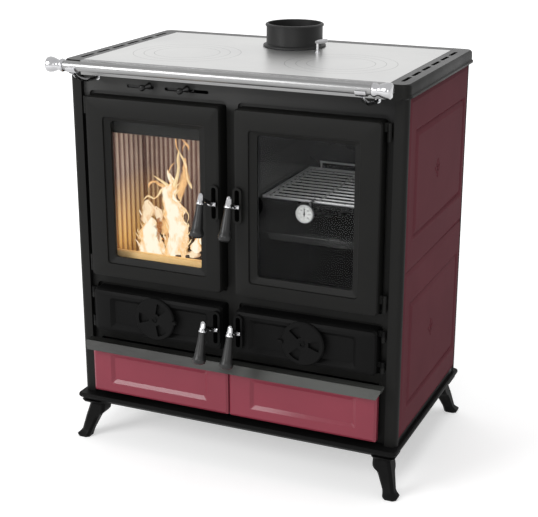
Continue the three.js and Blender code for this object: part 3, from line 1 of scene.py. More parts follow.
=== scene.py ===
"""Looks for the wood-burning cookstove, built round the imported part. Metres, front towards -Y."""

import math
import random

import bmesh
import bpy
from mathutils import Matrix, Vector, noise
from mathutils.bvhtree import BVHTree


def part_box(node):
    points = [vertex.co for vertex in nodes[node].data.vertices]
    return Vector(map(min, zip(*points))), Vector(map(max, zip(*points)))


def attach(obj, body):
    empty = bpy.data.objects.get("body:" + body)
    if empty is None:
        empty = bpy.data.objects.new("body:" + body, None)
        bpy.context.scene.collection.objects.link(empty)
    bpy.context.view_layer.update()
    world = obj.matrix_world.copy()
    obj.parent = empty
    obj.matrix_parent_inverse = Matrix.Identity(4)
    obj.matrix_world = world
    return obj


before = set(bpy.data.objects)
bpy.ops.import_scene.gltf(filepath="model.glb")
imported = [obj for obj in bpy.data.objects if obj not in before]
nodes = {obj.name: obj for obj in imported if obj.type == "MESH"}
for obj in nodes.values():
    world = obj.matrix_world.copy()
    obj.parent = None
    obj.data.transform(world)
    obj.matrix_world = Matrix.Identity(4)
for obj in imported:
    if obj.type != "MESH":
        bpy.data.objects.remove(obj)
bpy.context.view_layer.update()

MM = 0.001
FULL_TURN = 2 * math.pi

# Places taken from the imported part
FRONT_BAR_AHEAD = 230 * MM
MODEL_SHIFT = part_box("top_front_bar")[0].y + FRONT_BAR_AHEAD
FIRE_LOW, FIRE_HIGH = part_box("firebox_liner")
GRATE_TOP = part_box("fire_grate")[1].z / MM
DIAL_LOW, DIAL_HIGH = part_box("thermometer_case")
DIAL_X = (DIAL_LOW.x + DIAL_HIGH.x) / 2
DIAL_RADIUS = (DIAL_HIGH.x - DIAL_LOW.x) / 2
DIAL_Z = DIAL_LOW.z + DIAL_RADIUS


def spot(x, y, z):
    """A place in the stove's own millimetres, from its middle, as a vector of the frame."""
    return Vector((x * MM, y * MM + MODEL_SHIFT, z * MM))


# Camera, fitted to the straight edges of the casing
CAMERA_PLACE = spot(1051.1, -2428.5, 1287.8)
CAMERA_AZIMUTH = math.radians(23.575)
CAMERA_ELEVATION = math.radians(18.495)
CAMERA_LENS = 83.5
CAMERA_SENSOR = 36
CAMERA_REACH = 50

camera_data = bpy.data.cameras.new("camera")
camera_data.lens = CAMERA_LENS
camera_data.sensor_width = CAMERA_SENSOR
camera_data.clip_end = CAMERA_REACH
camera = bpy.data.objects.new("camera", camera_data)
bpy.context.scene.collection.objects.link(camera)
backwards = Vector((
    math.sin(CAMERA_AZIMUTH) * math.cos(CAMERA_ELEVATION),
    -math.cos(CAMERA_AZIMUTH) * math.cos(CAMERA_ELEVATION),
    math.sin(CAMERA_ELEVATION),
))
camera.location = CAMERA_PLACE
camera.rotation_mode = "QUATERNION"
camera.rotation_quaternion = (-backwards).to_track_quat("-Z", "Y")
bpy.context.scene.camera = camera
bpy.context.scene.view_settings.view_transform = "Standard"


# Materials

CAST_CLOUD = 110 * MM
CAST_GRAIN = 1.8 * MM
CAST_GRIT = 0.05 * MM
CAST_WAVE = 20 * MM
CAST_WAVE_DEPTH = 0.3 * MM
BLACK_TONES = ((0.0058, 0.0058, 0.0054), (0.0085, 0.0085, 0.0079))
BLACK_ROUGHNESS = (0.45, 0.58)
BLACK_SPECULAR = 0.12
GRINDING = (0.02, 1, 1)


def grey(level):
    """A colour without a tint."""
    return level, level, level


class Graph:
    """Short hands for wiring a material."""

    def __init__(self, name):
        self.material = bpy.data.materials.new(name)
        self.material.use_nodes = True
        self.tree = self.material.node_tree
        self.tree.nodes.clear()
        self.output = self.add("ShaderNodeOutputMaterial")

    def add(self, kind, **values):
        node = self.tree.nodes.new(kind)
        for key, value in values.items():
            setattr(node, key, value)
        return node

    def link(self, source, target):
        self.tree.links.new(source, target)

    def place(self, scale=(1, 1, 1)):
        """Object coordinates in metres, stretched per axis."""
        coordinates = self.add("ShaderNodeTexCoord")
        mapping = self.add("ShaderNodeMapping")
        mapping.inputs["Scale"].default_value = scale
        self.link(coordinates.outputs["Object"], mapping.inputs["Vector"])
        return mapping.outputs["Vector"]

    def axes(self):
        """The three object coordinates, in metres."""
        separate = self.add("ShaderNodeSeparateXYZ")
        self.link(self.place(), separate.inputs["Vector"])
        return separate.outputs["X"], separate.outputs["Y"], separate.outputs["Z"]

    def math(self, operation, *values):
        node = self.add("ShaderNodeMath", operation=operation)
        for socket, value in zip(node.inputs, values):
            if isinstance(value, (int, float)):
                socket.default_value = value
            else:
                self.link(value, socket)
        return node.outputs[0]

    def distance(self, first, second):
        """How far two offsets at right angles reach together."""
        squares = [self.math("MULTIPLY", value, value) for value in (first, second)]
        return self.math("SQRT", self.math("ADD", *squares))

    def noise(self, size, scale=(1, 1, 1), detail=4, roughness=0.55):
        """Noise with blotches of that size in metres."""
        cloud = self.add("ShaderNodeTexNoise")
        cloud.inputs["Scale"].default_value = 1 / size
        cloud.inputs["Detail"].default_value = detail
        cloud.inputs["Roughness"].default_value = roughness
        self.link(self.place(scale), cloud.inputs["Vector"])
        return cloud.outputs["Fac"]

    def attribute(self, name):
        return self.add("ShaderNodeAttribute", attribute_name=name).outputs["Fac"]

    def spread(self, value, low, high, start=0.3, stop=0.7):
        """Stretch a value between two numbers."""
        remap = self.add("ShaderNodeMapRange")
        remap.inputs["From Min"].default_value = start
        remap.inputs["From Max"].default_value = stop
        remap.inputs["To Min"].default_value = low
        remap.inputs["To Max"].default_value = high
        self.link(value, remap.inputs["Value"])
        return remap.outputs["Result"]

    def blend(self, value, first, second, start=0.3, stop=0.7):
        """A colour between two colours."""
        mix = self.add("ShaderNodeMix", data_type="RGBA")
        self.link(self.spread(value, 0, 1, start, stop), mix.inputs["Factor"])
        for socket, colour in ((mix.inputs["A"], first), (mix.inputs["B"], second)):
            if isinstance(colour, tuple):
                socket.default_value = (*colour, 1)
            else:
                self.link(colour, socket)
        return mix.outputs["Result"]

    def bump(self, value, depth, strength=1.0, below=None):
        bump = self.add("ShaderNodeBump")
        bump.inputs["Distance"].default_value = depth
        bump.inputs["Strength"].default_value = strength
        self.link(value, bump.inputs["Height"])
        if below is not None:
            self.link(below, bump.inputs["Normal"])
        return bump.outputs["Normal"]

    def casting(self, grit):
        """Bump of a casting: fine sand grain over slight waves."""
        waves = self.bump(self.noise(CAST_WAVE), CAST_WAVE_DEPTH, 0.2)
        return self.bump(self.noise(CAST_GRAIN, detail=2), grit, 0.4, waves)

    def surface(self, colour, roughness, normal=None, **fixed):
        """The material's shader. Keyword arguments set its sockets, with _ for a space."""
        shader = self.add("ShaderNodeBsdfPrincipled")
        for socket, value in (("Base Color", colour), ("Roughness", roughness), ("Normal", normal)):
            if value is None:
                continue
            if isinstance(value, tuple):
                shader.inputs[socket].default_value = (*value, 1)
            elif isinstance(value, (int, float)):
                shader.inputs[socket].default_value = value
            else:
                self.link(value, shader.inputs[socket])
        for socket, value in fixed.items():
            shader.inputs[socket.replace("_", " ")].default_value = value
        self.link(shader.outputs["BSDF"], self.output.inputs["Surface"])
        return shader


def cast_iron(name, dark, light, rough=BLACK_ROUGHNESS, grit=CAST_GRIT, specular=BLACK_SPECULAR):
    """Black stove enamel or bare casting, with a cloudy tone."""
    g = Graph(name)
    cloud = g.noise(CAST_CLOUD)
    tone = g.blend(cloud, dark, light)
    g.surface(tone, g.spread(cloud, *rough), g.casting(grit), Specular_IOR_Level=specular)
    return g.material


BAND_LEVEL = 782.5 * MM
BAND_FADE = 7.5 * MM


def fascia():
    """Front casting: over the doors it carries a painted reflection, greyer towards its left end."""
    g = Graph("cast_black_front")
    x, _, z = g.axes()
    cloud = g.noise(CAST_CLOUD)
    plain = g.blend(cloud, *BLACK_TONES)
    # Painted reflection over the doors: greyer at the left end, fading to plain black on the right.
    painted_reflection = g.blend(x, (0.058, 0.058, 0.057), grey(0.014), -100 * MM, 340 * MM)
    colour = g.blend(z, plain, painted_reflection, BAND_LEVEL - BAND_FADE, BAND_LEVEL + BAND_FADE)
    rough = g.spread(cloud, *BLACK_ROUGHNESS)
    g.surface(colour, rough, g.casting(CAST_GRIT), Specular_IOR_Level=BLACK_SPECULAR)
    return g.material


def enamel(name, deep, bright, coat, specular):
    """Coloured vitreous enamel: a deep tone under a clear coat with faint orange peel."""
    g = Graph(name)
    cloud = g.noise(160 * MM)
    peel = g.noise(7 * MM, detail=2)
    speck = g.noise(0.9 * MM, detail=1)
    colour = g.blend(speck, g.blend(cloud, deep, bright), bright, 0.62, 0.9)
    g.surface(colour, g.spread(cloud, 0.3, 0.4), g.bump(peel, 0.12 * MM, 0.3), Coat_Weight=coat,
              Coat_Roughness=0.12, Specular_IOR_Level=specular)
    return g.material


LINE_WIDTH = 0.9 * MM
SCRATCH = 0.03 * MM


def steel(name, dark, light, rough):
    """Ground steel with fine lines from side to side."""
    g = Graph(name)
    lines = g.noise(LINE_WIDTH, GRINDING, detail=3)
    cloud = g.noise(140 * MM)
    tone = g.blend(g.noise(4 * MM, GRINDING, detail=3), dark, light)
    g.surface(g.blend(cloud, tone, light, 0.2, 0.9), g.spread(lines, *rough), g.bump(lines, SCRATCH, 0.5),
              Metallic=1.0)
    return g.material


def strip_steel():
    """The dark trim strip, with a painted reflection that makes it paler towards its right end."""
    g = Graph("strip_steel")
    x, _, _ = g.axes()
    lines = g.noise(LINE_WIDTH, GRINDING, detail=3)
    cloud = g.noise(50 * MM, (0.4, 1, 1))
    # Painted reflection: the strip grows paler towards its right end.
    tone = g.blend(x, (0.012, 0.012, 0.011), (0.056, 0.058, 0.054), -150 * MM, 340 * MM)
    g.surface(g.blend(cloud, tone, (0.028, 0.028, 0.026), 0.45, 0.9), g.spread(lines, 0.38, 0.5),
              g.bump(lines, SCRATCH, 0.5), Metallic=0.3, Specular_IOR_Level=0.3)
    return g.material


CHROME_LIFT = 1.08


def chrome(name, tone, rough, metal=1.0):
    """Plated metal with a faint smear."""
    g = Graph(name)
    smear = g.noise(4 * MM, detail=2)
    colour = g.blend(g.noise(20 * MM), tone, tuple(CHROME_LIFT * part for part in tone))
    g.surface(colour, g.spread(smear, *rough), g.bump(smear, 0.05 * MM, 0.3), Metallic=metal)
    return g.material


RING_X = 175 * MM
RING_Y = -55 * MM
RING_RADII = [115 * MM, 92 * MM, 70 * MM]
RING_WIDTH = 0.9 * MM
RING_DEPTH = 0.4 * MM


def hob_steel():
    """Polished plate with two sets of turned rings."""
    g = Graph("hob_steel")
    x, y, _ = g.axes()
    across = g.math("SUBTRACT", g.math("ABSOLUTE", x), RING_X)
    along = g.math("SUBTRACT", y, RING_Y + MODEL_SHIFT)
    radius = g.distance(across, along)
    marks = None
    for ring in RING_RADII:
        away = g.math("DIVIDE", g.math("ABSOLUTE", g.math("SUBTRACT", radius, ring)), RING_WIDTH)
        near = g.math("SUBTRACT", 1.0, g.math("MINIMUM", 1.0, away))
        marks = near if marks is None else g.math("MAXIMUM", marks, near)
    lines = g.noise(0.8 * MM, GRINDING, detail=3)
    tone = g.blend(g.noise(200 * MM), (0.63, 0.63, 0.625), (0.69, 0.69, 0.68))
    colour = g.blend(marks, tone, grey(0.27), 0.0, 1.0)
    normal = g.bump(marks, -RING_DEPTH, 0.8, g.bump(lines, 0.02 * MM, 0.4))
    g.surface(colour, g.spread(lines, 0.3, 0.4), normal, Metallic=1.0)
    return g.material


def glass():
    """Thin clear pane. Its index is low, so that what lies behind keeps its place."""
    g = Graph("door_glass")
    smear = g.noise(50 * MM)
    g.surface((0.97, 0.98, 0.98), g.spread(smear, 0.0, 0.02), None, Transmission_Weight=1.0, IOR=1.12)
    return g.material


LINING_WALL = 10
LINING_LEFT = FIRE_LOW.x / MM + LINING_WALL
LINING_RIGHT = FIRE_HIGH.x / MM - LINING_WALL
LINING_REAR = -39.7
REAR_RIB = 3.8
SIDE_RIB = 6
# How far up and across the painted firelight reaches on the lining.
FIRELIGHT_LEVELS = (430 * MM, 620 * MM)
FIRELIGHT_ACROSS = (-262 * MM, -235 * MM)
LEDGE_LEVELS = (442.2 * MM, 443.2 * MM)
LEDGE_REAR = MODEL_SHIFT - 170 * MM
LEDGE_FADE = 5 * MM


def firebrick():
    """Ribbed lining: pale crests, groove bottoms in painted shade, and painted firelight, warm and bright,
    near the fire's bed and on the ledge before it.
    """
    g = Graph("firebrick")
    x, y, z = g.axes()
    rear = MODEL_SHIFT + LINING_REAR * MM
    behind = g.spread(y, 0, 1, rear - REAR_RIB * MM, rear)
    left = g.spread(x, 0, 1, (LINING_LEFT + SIDE_RIB) * MM, LINING_LEFT * MM)
    right = g.spread(x, 0, 1, (LINING_RIGHT - SIDE_RIB) * MM, LINING_RIGHT * MM)
    groove = g.math("MAXIMUM", behind, g.math("MAXIMUM", left, right))
    cloud = g.noise(50 * MM)
    soot = g.noise(90 * MM, (1, 1, 0.5))
    grit = g.noise(1.5 * MM, detail=3)
    crests = g.blend(cloud, (0.30, 0.235, 0.20), (0.38, 0.31, 0.265))
    # Colour of the groove bottoms: painted shade, far darker than the crests.
    groove_shade = g.blend(cloud, (0.10, 0.052, 0.046), (0.14, 0.075, 0.062))
    brick = g.blend(soot, g.blend(groove, crests, groove_shade, 0.15, 0.9), (0.16, 0.12, 0.10), 0.55, 0.85)
    # Painted firelight: a warm, bright colour low on the left of the lining by the fire's bed, darker in the
    # groove bottoms.
    firelight_share = g.math("MULTIPLY", g.spread(z, 1, 0, *FIRELIGHT_LEVELS), g.spread(x, 1, 0, *FIRELIGHT_ACROSS))
    painted_firelight = g.blend(groove, (0.80, 0.52, 0.18), (0.42, 0.22, 0.08), 0.3, 0.9)
    brick_and_firelight = g.blend(firelight_share, brick, painted_firelight, 0.1, 0.9)
    # Painted firelight on the ledge in front of the fire.
    low = g.spread(z, 1, 0, *LEDGE_LEVELS)
    ledge = g.math("MULTIPLY", low, g.spread(y, 1, 0, LEDGE_REAR - LEDGE_FADE, LEDGE_REAR))
    colour = g.blend(ledge, brick_and_firelight, g.blend(cloud, (0.80, 0.50, 0.20), (0.90, 0.60, 0.27)), 0.2, 0.8)
    g.surface(colour, g.spread(grit, 0.75, 0.95), g.bump(grit, 0.3 * MM, 0.5), Specular_IOR_Level=0.3)
    return g.material


ROPE_STRANDS = 160


def rope():
    """Twisted glass fibre."""
    g = Graph("fibre_rope")
    weave = g.add("ShaderNodeTexWave", wave_type="BANDS", bands_direction="DIAGONAL")
    weave.inputs["Scale"].default_value = ROPE_STRANDS
    weave.inputs["Distortion"].default_value = 1.5
    g.link(g.place(), weave.inputs["Vector"])
    strand = weave.outputs["Fac"]
    tone = g.blend(strand, grey(0.03), (0.11, 0.11, 0.105))
    g.surface(tone, 0.9, g.bump(strand, 0.6 * MM, 0.8), Sheen_Weight=0.3)
    return g.material


BEZEL_INSIDE = (16.8 * MM, 17.1 * MM)
CASE_FROM = (DIAL_LOW.y + 3.5 * MM, DIAL_LOW.y + 4.2 * MM)


def dial_face():
    """White face inside a grey bezel, with a dark case behind."""
    g = Graph("dial_white")
    x, y, z = g.axes()
    radius = g.distance(g.math("SUBTRACT", x, DIAL_X), g.math("SUBTRACT", z, DIAL_Z))
    cloud = g.noise(10 * MM)
    face = g.blend(cloud, (0.46, 0.46, 0.45), (0.54, 0.54, 0.53))
    front = g.blend(radius, face, grey(0.34), *BEZEL_INSIDE)
    colour = g.blend(y, front, (0.045, 0.045, 0.047), *CASE_FROM)
    g.surface(colour, g.spread(cloud, 0.3, 0.4), None, Specular_IOR_Level=0.3)
    return g.material


def flame(name, core, edge, strength, soft, most=1.0):
    """Glowing gas: a bright core, a deeper edge that fades out, and streaks that rise through it."""
    g = Graph(name)
    rim = g.attribute("rim")
    lick = g.spread(g.noise(13 * MM, (1, 1, 0.45)), -0.55, 0.55)
    heat = g.math("ADD", rim, lick)
    shader = g.surface(grey(0.0), 1.0, None, Specular_IOR_Level=0.0, Emission_Strength=strength)
    g.link(g.blend(heat, core, edge, 0.35, 1.0), shader.inputs["Emission Color"])
    ragged = g.math("ADD", rim, g.math("MULTIPLY", lick, 0.5))
    g.link(g.spread(ragged, most, 0, *soft), shader.inputs["Alpha"])
    return g.material


def charred():
    """Burning wood: black bark with glowing cracks."""
    g = Graph("charred_wood")
    bark = g.noise(12 * MM, (0.3, 1, 1), detail=5)
    cracks = g.noise(20 * MM, (0.6, 1, 1))
    shader = g.surface(g.blend(bark, (0.012, 0.009, 0.008), (0.07, 0.045, 0.03)), 0.85,
                       g.bump(bark, 1.2 * MM, 0.8), Specular_IOR_Level=0.1, Emission_Strength=1.0)
    g.link(g.blend(cracks, grey(0.0), (0.9, 0.30, 0.06), 0.53, 0.62), shader.inputs["Emission Color"])
    return g.material


BLACK = cast_iron("cast_black", *BLACK_TONES)
BLACK_FRONT = fascia()
# Lit copy of the black casting for level faces: painted light, greyer and glossier than the sides.
BLACK_TOP_PAINTED_LIGHT = cast_iron("cast_black_top_painted_light", grey(0.014), grey(0.022), (0.36, 0.46), specular=0.42)
BLACK_ROUGH = cast_iron("cast_black_rough", (0.010, 0.0095, 0.009), (0.020, 0.019, 0.018), (0.6, 0.78),
                        0.3 * MM)
BLACK_GLOSS = cast_iron("gloss_black", grey(0.004), grey(0.006), (0.2, 0.28), 0.01 * MM, 0.25)
# Darker copy of the red enamel for the side panels and their flowers: painted shade.
SIDE_RED_PAINTED_SHADE = enamel("enamel_side_painted_shade", (0.128, 0.036, 0.046), (0.148, 0.042, 0.053), 0.05, 0.0)
DRAWER_RED = enamel("enamel_front", (0.205, 0.030, 0.048), (0.235, 0.034, 0.055), 0.5, 0.03)
HOB = hob_steel()
BAR_STEEL = steel("bar_steel", grey(0.20), grey(0.245), (0.3, 0.4))
RAIL_STEEL = steel("rail_steel", grey(0.22), grey(0.28), (0.26, 0.36))
STRIP_STEEL = strip_steel()
CHROME = chrome("chrome_bright", (0.42, 0.42, 0.43), (0.12, 0.2))
WIRE = chrome("chrome_wire", grey(0.37), (0.26, 0.38), 0.6)
SHEET = cast_iron("sheet_grey", (0.026, 0.026, 0.027), (0.040, 0.040, 0.041), (0.42, 0.6), 0.04 * MM, 0.3)
OVEN_GREY = cast_iron("oven_enamel", (0.011, 0.011, 0.012), grey(0.018), (0.12, 0.18), 0.004 * MM, 0.5)
TRAY = cast_iron("tray_enamel", grey(0.020), grey(0.028), (0.2, 0.3), 0.02 * MM, 0.5)
GRIP = cast_iron("grip_plastic", grey(0.012), grey(0.018), (0.3, 0.42), 0.04 * MM, 0.3)
# Darker copy of the black casting for the plinth, legs, lower doors and air registers: painted shade.
BLACK_PAINTED_SHADE = cast_iron("cast_black_painted_shade", grey(0.0032), grey(0.0048), specular=0.07)
BLACK_FLUE = cast_iron("cast_black_flue", grey(0.011), grey(0.017), (0.42, 0.52), specular=0.22)
# Matt near-black: the latch covers' finish, and painted shade on the sheet behind the air slots.
BLACK_COVER_AND_PAINTED_SHADE = cast_iron("cover_black_and_painted_shade", grey(0.0010), grey(0.0016), (0.7, 0.8), specular=0.0)
PRINT = cast_iron("dial_print", grey(0.010), grey(0.014), (0.5, 0.6), 0.01 * MM, 0.2)
SCREW = cast_iron("screw_black", grey(0.012), grey(0.020), (0.35, 0.5), 0.03 * MM, 0.4)
GLASS = glass()
BRICK = firebrick()
ROPE = rope()
DIAL = dial_face()
BODY_FIRE = flame("flame_body", (1.0, 0.93, 0.74), (0.98, 0.56, 0.22), 1.04, (0.78, 1.05))
PALE_FIRE = flame("flame_pale", (1.0, 0.60, 0.27), (0.80, 0.28, 0.07), 1.0, (0.1, 0.95), 0.85)
THIN_FIRE = flame("flame_thin", (1.0, 0.80, 0.46), (0.85, 0.34, 0.09), 1.0, (0.3, 1.0), 0.9)
PEACH_FIRE = flame("flame_peach", (1.0, 0.80, 0.54), (0.94, 0.50, 0.24), 1.0, (0.35, 1.05), 0.95)
DEEP_FIRE = flame("flame_deep", (0.42, 0.15, 0.05), (0.20, 0.06, 0.025), 0.9, (0.0, 0.8), 0.85)
CHARRED = charred()


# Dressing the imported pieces

WELD = 0.02 * MM
CREASE = 34
LEVEL_FACE = 0.9
NO_FACE = 2.0


def soft_edge_group():
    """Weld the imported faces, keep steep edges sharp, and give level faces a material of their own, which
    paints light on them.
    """
    group = bpy.data.node_groups.new("weld_and_shade", "GeometryNodeTree")
    for name, kind in (("Geometry", "Geometry"), ("Crease", "Float"),
                       ("Top material", "Material"), ("Top from", "Float")):
        group.interface.new_socket(name, in_out="INPUT", socket_type=f"NodeSocket{kind}")
    group.interface.new_socket("Geometry", in_out="OUTPUT", socket_type="NodeSocketGeometry")
    node = group.nodes.new
    link = group.links.new
    start = node("NodeGroupInput")
    weld = node("GeometryNodeMergeByDistance")
    weld.inputs["Distance"].default_value = WELD
    smooth = node("GeometryNodeSetShadeSmooth")
    angle = node("GeometryNodeInputMeshEdgeAngle")
    steep = node("FunctionNodeCompare")
    steep.operation = "GREATER_THAN"
    crease = node("GeometryNodeSetShadeSmooth")
    crease.domain = "EDGE"
    crease.inputs["Shade Smooth"].default_value = False
    normal = node("GeometryNodeInputNormal")
    axes = node("ShaderNodeSeparateXYZ")
    level = node("FunctionNodeCompare")
    level.operation = "GREATER_THAN"
    paint = node("GeometryNodeSetMaterial")
    stop = node("NodeGroupOutput")
    link(start.outputs["Geometry"], weld.inputs["Geometry"])
    link(weld.outputs["Geometry"], smooth.inputs["Geometry"])
    link(smooth.outputs["Geometry"], crease.inputs["Geometry"])
    link(angle.outputs["Unsigned Angle"], steep.inputs[0])
    link(start.outputs["Crease"], steep.inputs[1])
    link(steep.outputs["Result"], crease.inputs["Selection"])
    link(normal.outputs["Normal"], axes.inputs[0])
    link(axes.outputs["Z"], level.inputs[0])
    link(start.outputs["Top from"], level.inputs[1])
    link(crease.outputs["Geometry"], paint.inputs["Geometry"])
    link(level.outputs["Result"], paint.inputs["Selection"])
    link(start.outputs["Top material"], paint.inputs["Material"])
    link(paint.outputs["Geometry"], stop.inputs[0])
    return group


SOFT_EDGES = soft_edge_group()
SOCKETS = {item.name: item.identifier for item in SOFT_EDGES.interface.items_tree if item.in_out == "INPUT"}


def dress(name, material, crease, bevel, top):
    """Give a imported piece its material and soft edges, and level faces the top material if there is one."""
    piece = nodes[name]
    piece.data.materials.clear()
    piece.data.materials.append(material)
    modifier = piece.modifiers.new("weld_and_shade", "NODES")
    modifier.node_group = SOFT_EDGES
    modifier[SOCKETS["Crease"]] = math.radians(crease)
    modifier[SOCKETS["Top material"]] = top or material
    modifier[SOCKETS["Top from"]] = LEVEL_FACE if top else NO_FACE
    if bevel:
        edge = piece.modifiers.new("eased_edges", "BEVEL")
        edge.width = bevel
        edge.segments = 2
        edge.limit_method = "ANGLE"
        edge.angle_limit = math.radians(CREASE)
        edge.harden_normals = True


SIDES = ("left", "right")
LEVELS = ("upper", "lower")

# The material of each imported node
looks = {
    "plinth_frame": BLACK_PAINTED_SHADE, "front_frame": BLACK_FRONT, "top_rear_bar": BLACK, "flue_collar": BLACK_FLUE,
    "firebox_door": BLACK, "oven_door": BLACK, "ash_door": BLACK_PAINTED_SHADE, "lower_oven_door": BLACK_PAINTED_SHADE,
    "fire_grate": BLACK_ROUGH, "firebox_liner": BRICK, "ash_pan": SHEET, "oven_box": OVEN_GREY,
    "oven_rack": WIRE, "baking_tray": TRAY, "thermometer_case": DIAL, "thermometer_needle": PRINT,
    "wood_drawer_box": SHEET, "drawer_grip_strip": STRIP_STEEL, "back_panel": SHEET,
    "hob_plate": HOB, "top_front_bar": BAR_STEEL, "rail_tube": RAIL_STEEL, "damper_lever": CHROME,
    "air_lever_inner": BLACK_GLOSS, "air_lever_outer": BLACK_GLOSS,
    "firebox_glass": GLASS, "oven_glass": GLASS, "firebox_glass_frame": SHEET, "oven_glass_frame": SHEET,
    "firebox_door_gasket": ROPE, "oven_door_gasket": ROPE,
}
for side in SIDES:
    looks.update({
        f"leg_front_{side}": BLACK_PAINTED_SHADE, f"leg_rear_{side}": BLACK_PAINTED_SHADE, f"pillar_front_{side}": BLACK,
        f"side_panel_upper_{side}": SIDE_RED_PAINTED_SHADE, f"side_panel_lower_{side}": SIDE_RED_PAINTED_SHADE,
        f"top_cheek_{side}": BLACK, f"rail_end_{side}": CHROME, f"rail_bracket_{side}": CHROME,
        f"drawer_panel_{side}": DRAWER_RED, f"air_register_{side}": BLACK_PAINTED_SHADE,
    })
    for level in LEVELS:
        looks[f"latch_lever_{level}_{side}"] = CHROME
        looks[f"latch_grip_{level}_{side}"] = GRIP

# Degrees over which an edge stays sharp, where CREASE isn't used
creases = {
    "front_frame": 20, "firebox_door": 20, "oven_door": 20, "ash_door": 20, "lower_oven_door": 20,
    "plinth_frame": 20, "hob_plate": 30, "drawer_grip_strip": 20,
}
for side in SIDES:
    for level in LEVELS:
        creases[f"side_panel_{level}_{side}"] = 9
    creases[f"drawer_panel_{side}"] = 9
    creases[f"rail_end_{side}"] = 50
    creases[f"top_cheek_{side}"] = 24

# Width of the eased edges, in millimetres
bevels = {
    "firebox_door": 0.8, "oven_door": 0.8, "ash_door": 0.8, "lower_oven_door": 0.8, "plinth_frame": 0.8,
    "drawer_grip_strip": 0.4, "drawer_panel_left": 0.5, "drawer_panel_right": 0.5, "top_front_bar": 0.5,
}
for name, material in looks.items():
    # Level faces of the cheeks and the rear bar take the lit copy of the black casting: painted light.
    top = BLACK_TOP_PAINTED_LIGHT if name.startswith("top_cheek") or name == "top_rear_bar" else None
    dress(name, material, creases.get(name, CREASE), bevels.get(name, 0.0) * MM, top)
for name in ("firebox_glass", "oven_glass"):
    nodes[name].visible_shadow = False


# Pieces made here

def solid(name, points, faces, material, body, rim=None, smooth=True):
    """A closed mesh piece that rides a body."""
    data = bpy.data.meshes.new(name)
    data.from_pydata([tuple(p) for p in points], [], faces)
    data.validate()
    shape = bmesh.new()
    shape.from_mesh(data)
    bmesh.ops.recalc_face_normals(shape, faces=shape.faces)
    shape.to_mesh(data)
    shape.free()
    for polygon in data.polygons:
        polygon.use_smooth = smooth
    if rim is not None:
        layer = data.attributes.new("rim", "FLOAT", "POINT")
        layer.data.foreach_set("value", rim)
    data.materials.append(material)
    piece = bpy.data.objects.new(name, data)
    bpy.context.scene.collection.objects.link(piece)
    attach(piece, body)
    return piece


def skin(rings):
    """Faces between rings of equal count, with both ends filled."""
    count = len(rings[0])
    points = [point for ring in rings for point in ring]
    faces = []
    for row in range(len(rings) - 1):
        for i in range(count):
            j = (i + 1) % count
            faces.append((row * count + i, row * count + j, (row + 1) * count + j, (row + 1) * count + i))
    last = (len(rings) - 1) * count
    faces.append(tuple(range(count)))
    faces.append(tuple(last + i for i in range(count)))
    return points, faces


def circle(count):
    """Cosine and sine of equal steps round a full turn."""
    return [(math.cos(FULL_TURN * i / count), math.sin(FULL_TURN * i / count)) for i in range(count)]


def join(points, faces, new_points, new_faces):
    """Put another shape's points and faces after those of a first one."""
    offset = len(points)
    points.extend(new_points)
    faces.extend(tuple(offset + i for i in face) for face in new_faces)


def curve_through(values, parts):
    """Points on a smooth curve through a list of tuples."""
    result = []
    for i in range(len(values) - 1):
        before = values[max(i - 1, 0)]
        start, stop = values[i], values[i + 1]
        after = values[min(i + 2, len(values) - 1)]
        for step in range(parts):
            t = step / parts
            result.append(tuple(
                0.5 * (2 * b + (c - a) * t + (2 * a - 5 * b + 4 * c - d) * t * t
                       + (3 * b - a - 3 * c + d) * t ** 3)
                for a, b, c, d in zip(before, start, stop, after)))
    result.append(tuple(values[-1]))
    return result


# Fire: two bodies, thin veils, tongues and small licks
FLAME_SIDES = 16
ROW_STEPS = 6
TONGUE_STEPS = 5
LEAST_HALF_ROW = 0.6
LEAST_HALF_TONGUE = 0.15
STREAK_SIZE = 12 * MM
STREAK_DEPTH = 3.2


def flame_rows(name, y, depth, rows, material):
    """A standing flame from rows of level, left edge and right edge, in the stove's millimetres."""
    rings = []
    rim = []
    for level, left, right in curve_through(rows, ROW_STEPS):
        half = max((right - left) / 2, LEAST_HALF_ROW)
        middle = (left + right) / 2
        thick = min(half, depth)
        ring = []
        for across, deep in circle(FLAME_SIDES):
            place = spot(middle + half * across, y + thick * deep, level)
            slow = noise.noise(place / STREAK_SIZE) * min(STREAK_DEPTH, half * 0.5)
            quick = noise.noise(place / (STREAK_SIZE * 0.3)) * min(STREAK_DEPTH * 0.55, half * 0.3)
            place.x += (slow + quick) * across * MM
            ring.append(place)
            rim.append(abs(across))
        rings.append(ring)
    points, faces = skin(rings)
    return solid(name, points, faces, material, "stove", rim)


def flame_tongue(name, y, spine, material):
    """A licking flame along places of across, level and half width, in the stove's millimetres."""
    path = curve_through(spine, TONGUE_STEPS)
    rings = []
    rim = []
    for i, (x, z, half) in enumerate(path):
        before = path[max(i - 1, 0)]
        after = path[min(i + 1, len(path) - 1)]
        run = Vector((after[0] - before[0], after[1] - before[1])).normalized()
        half = max(half, LEAST_HALF_TONGUE)
        ring = []
        for across, deep in circle(FLAME_SIDES):
            wide = half * across
            ring.append(spot(x + wide * run.y, y + half * deep, z - wide * run.x))
            rim.append(abs(across))
        rings.append(ring)
    points, faces = skin(rings)
    return solid(name, points, faces, material, "stove", rim)


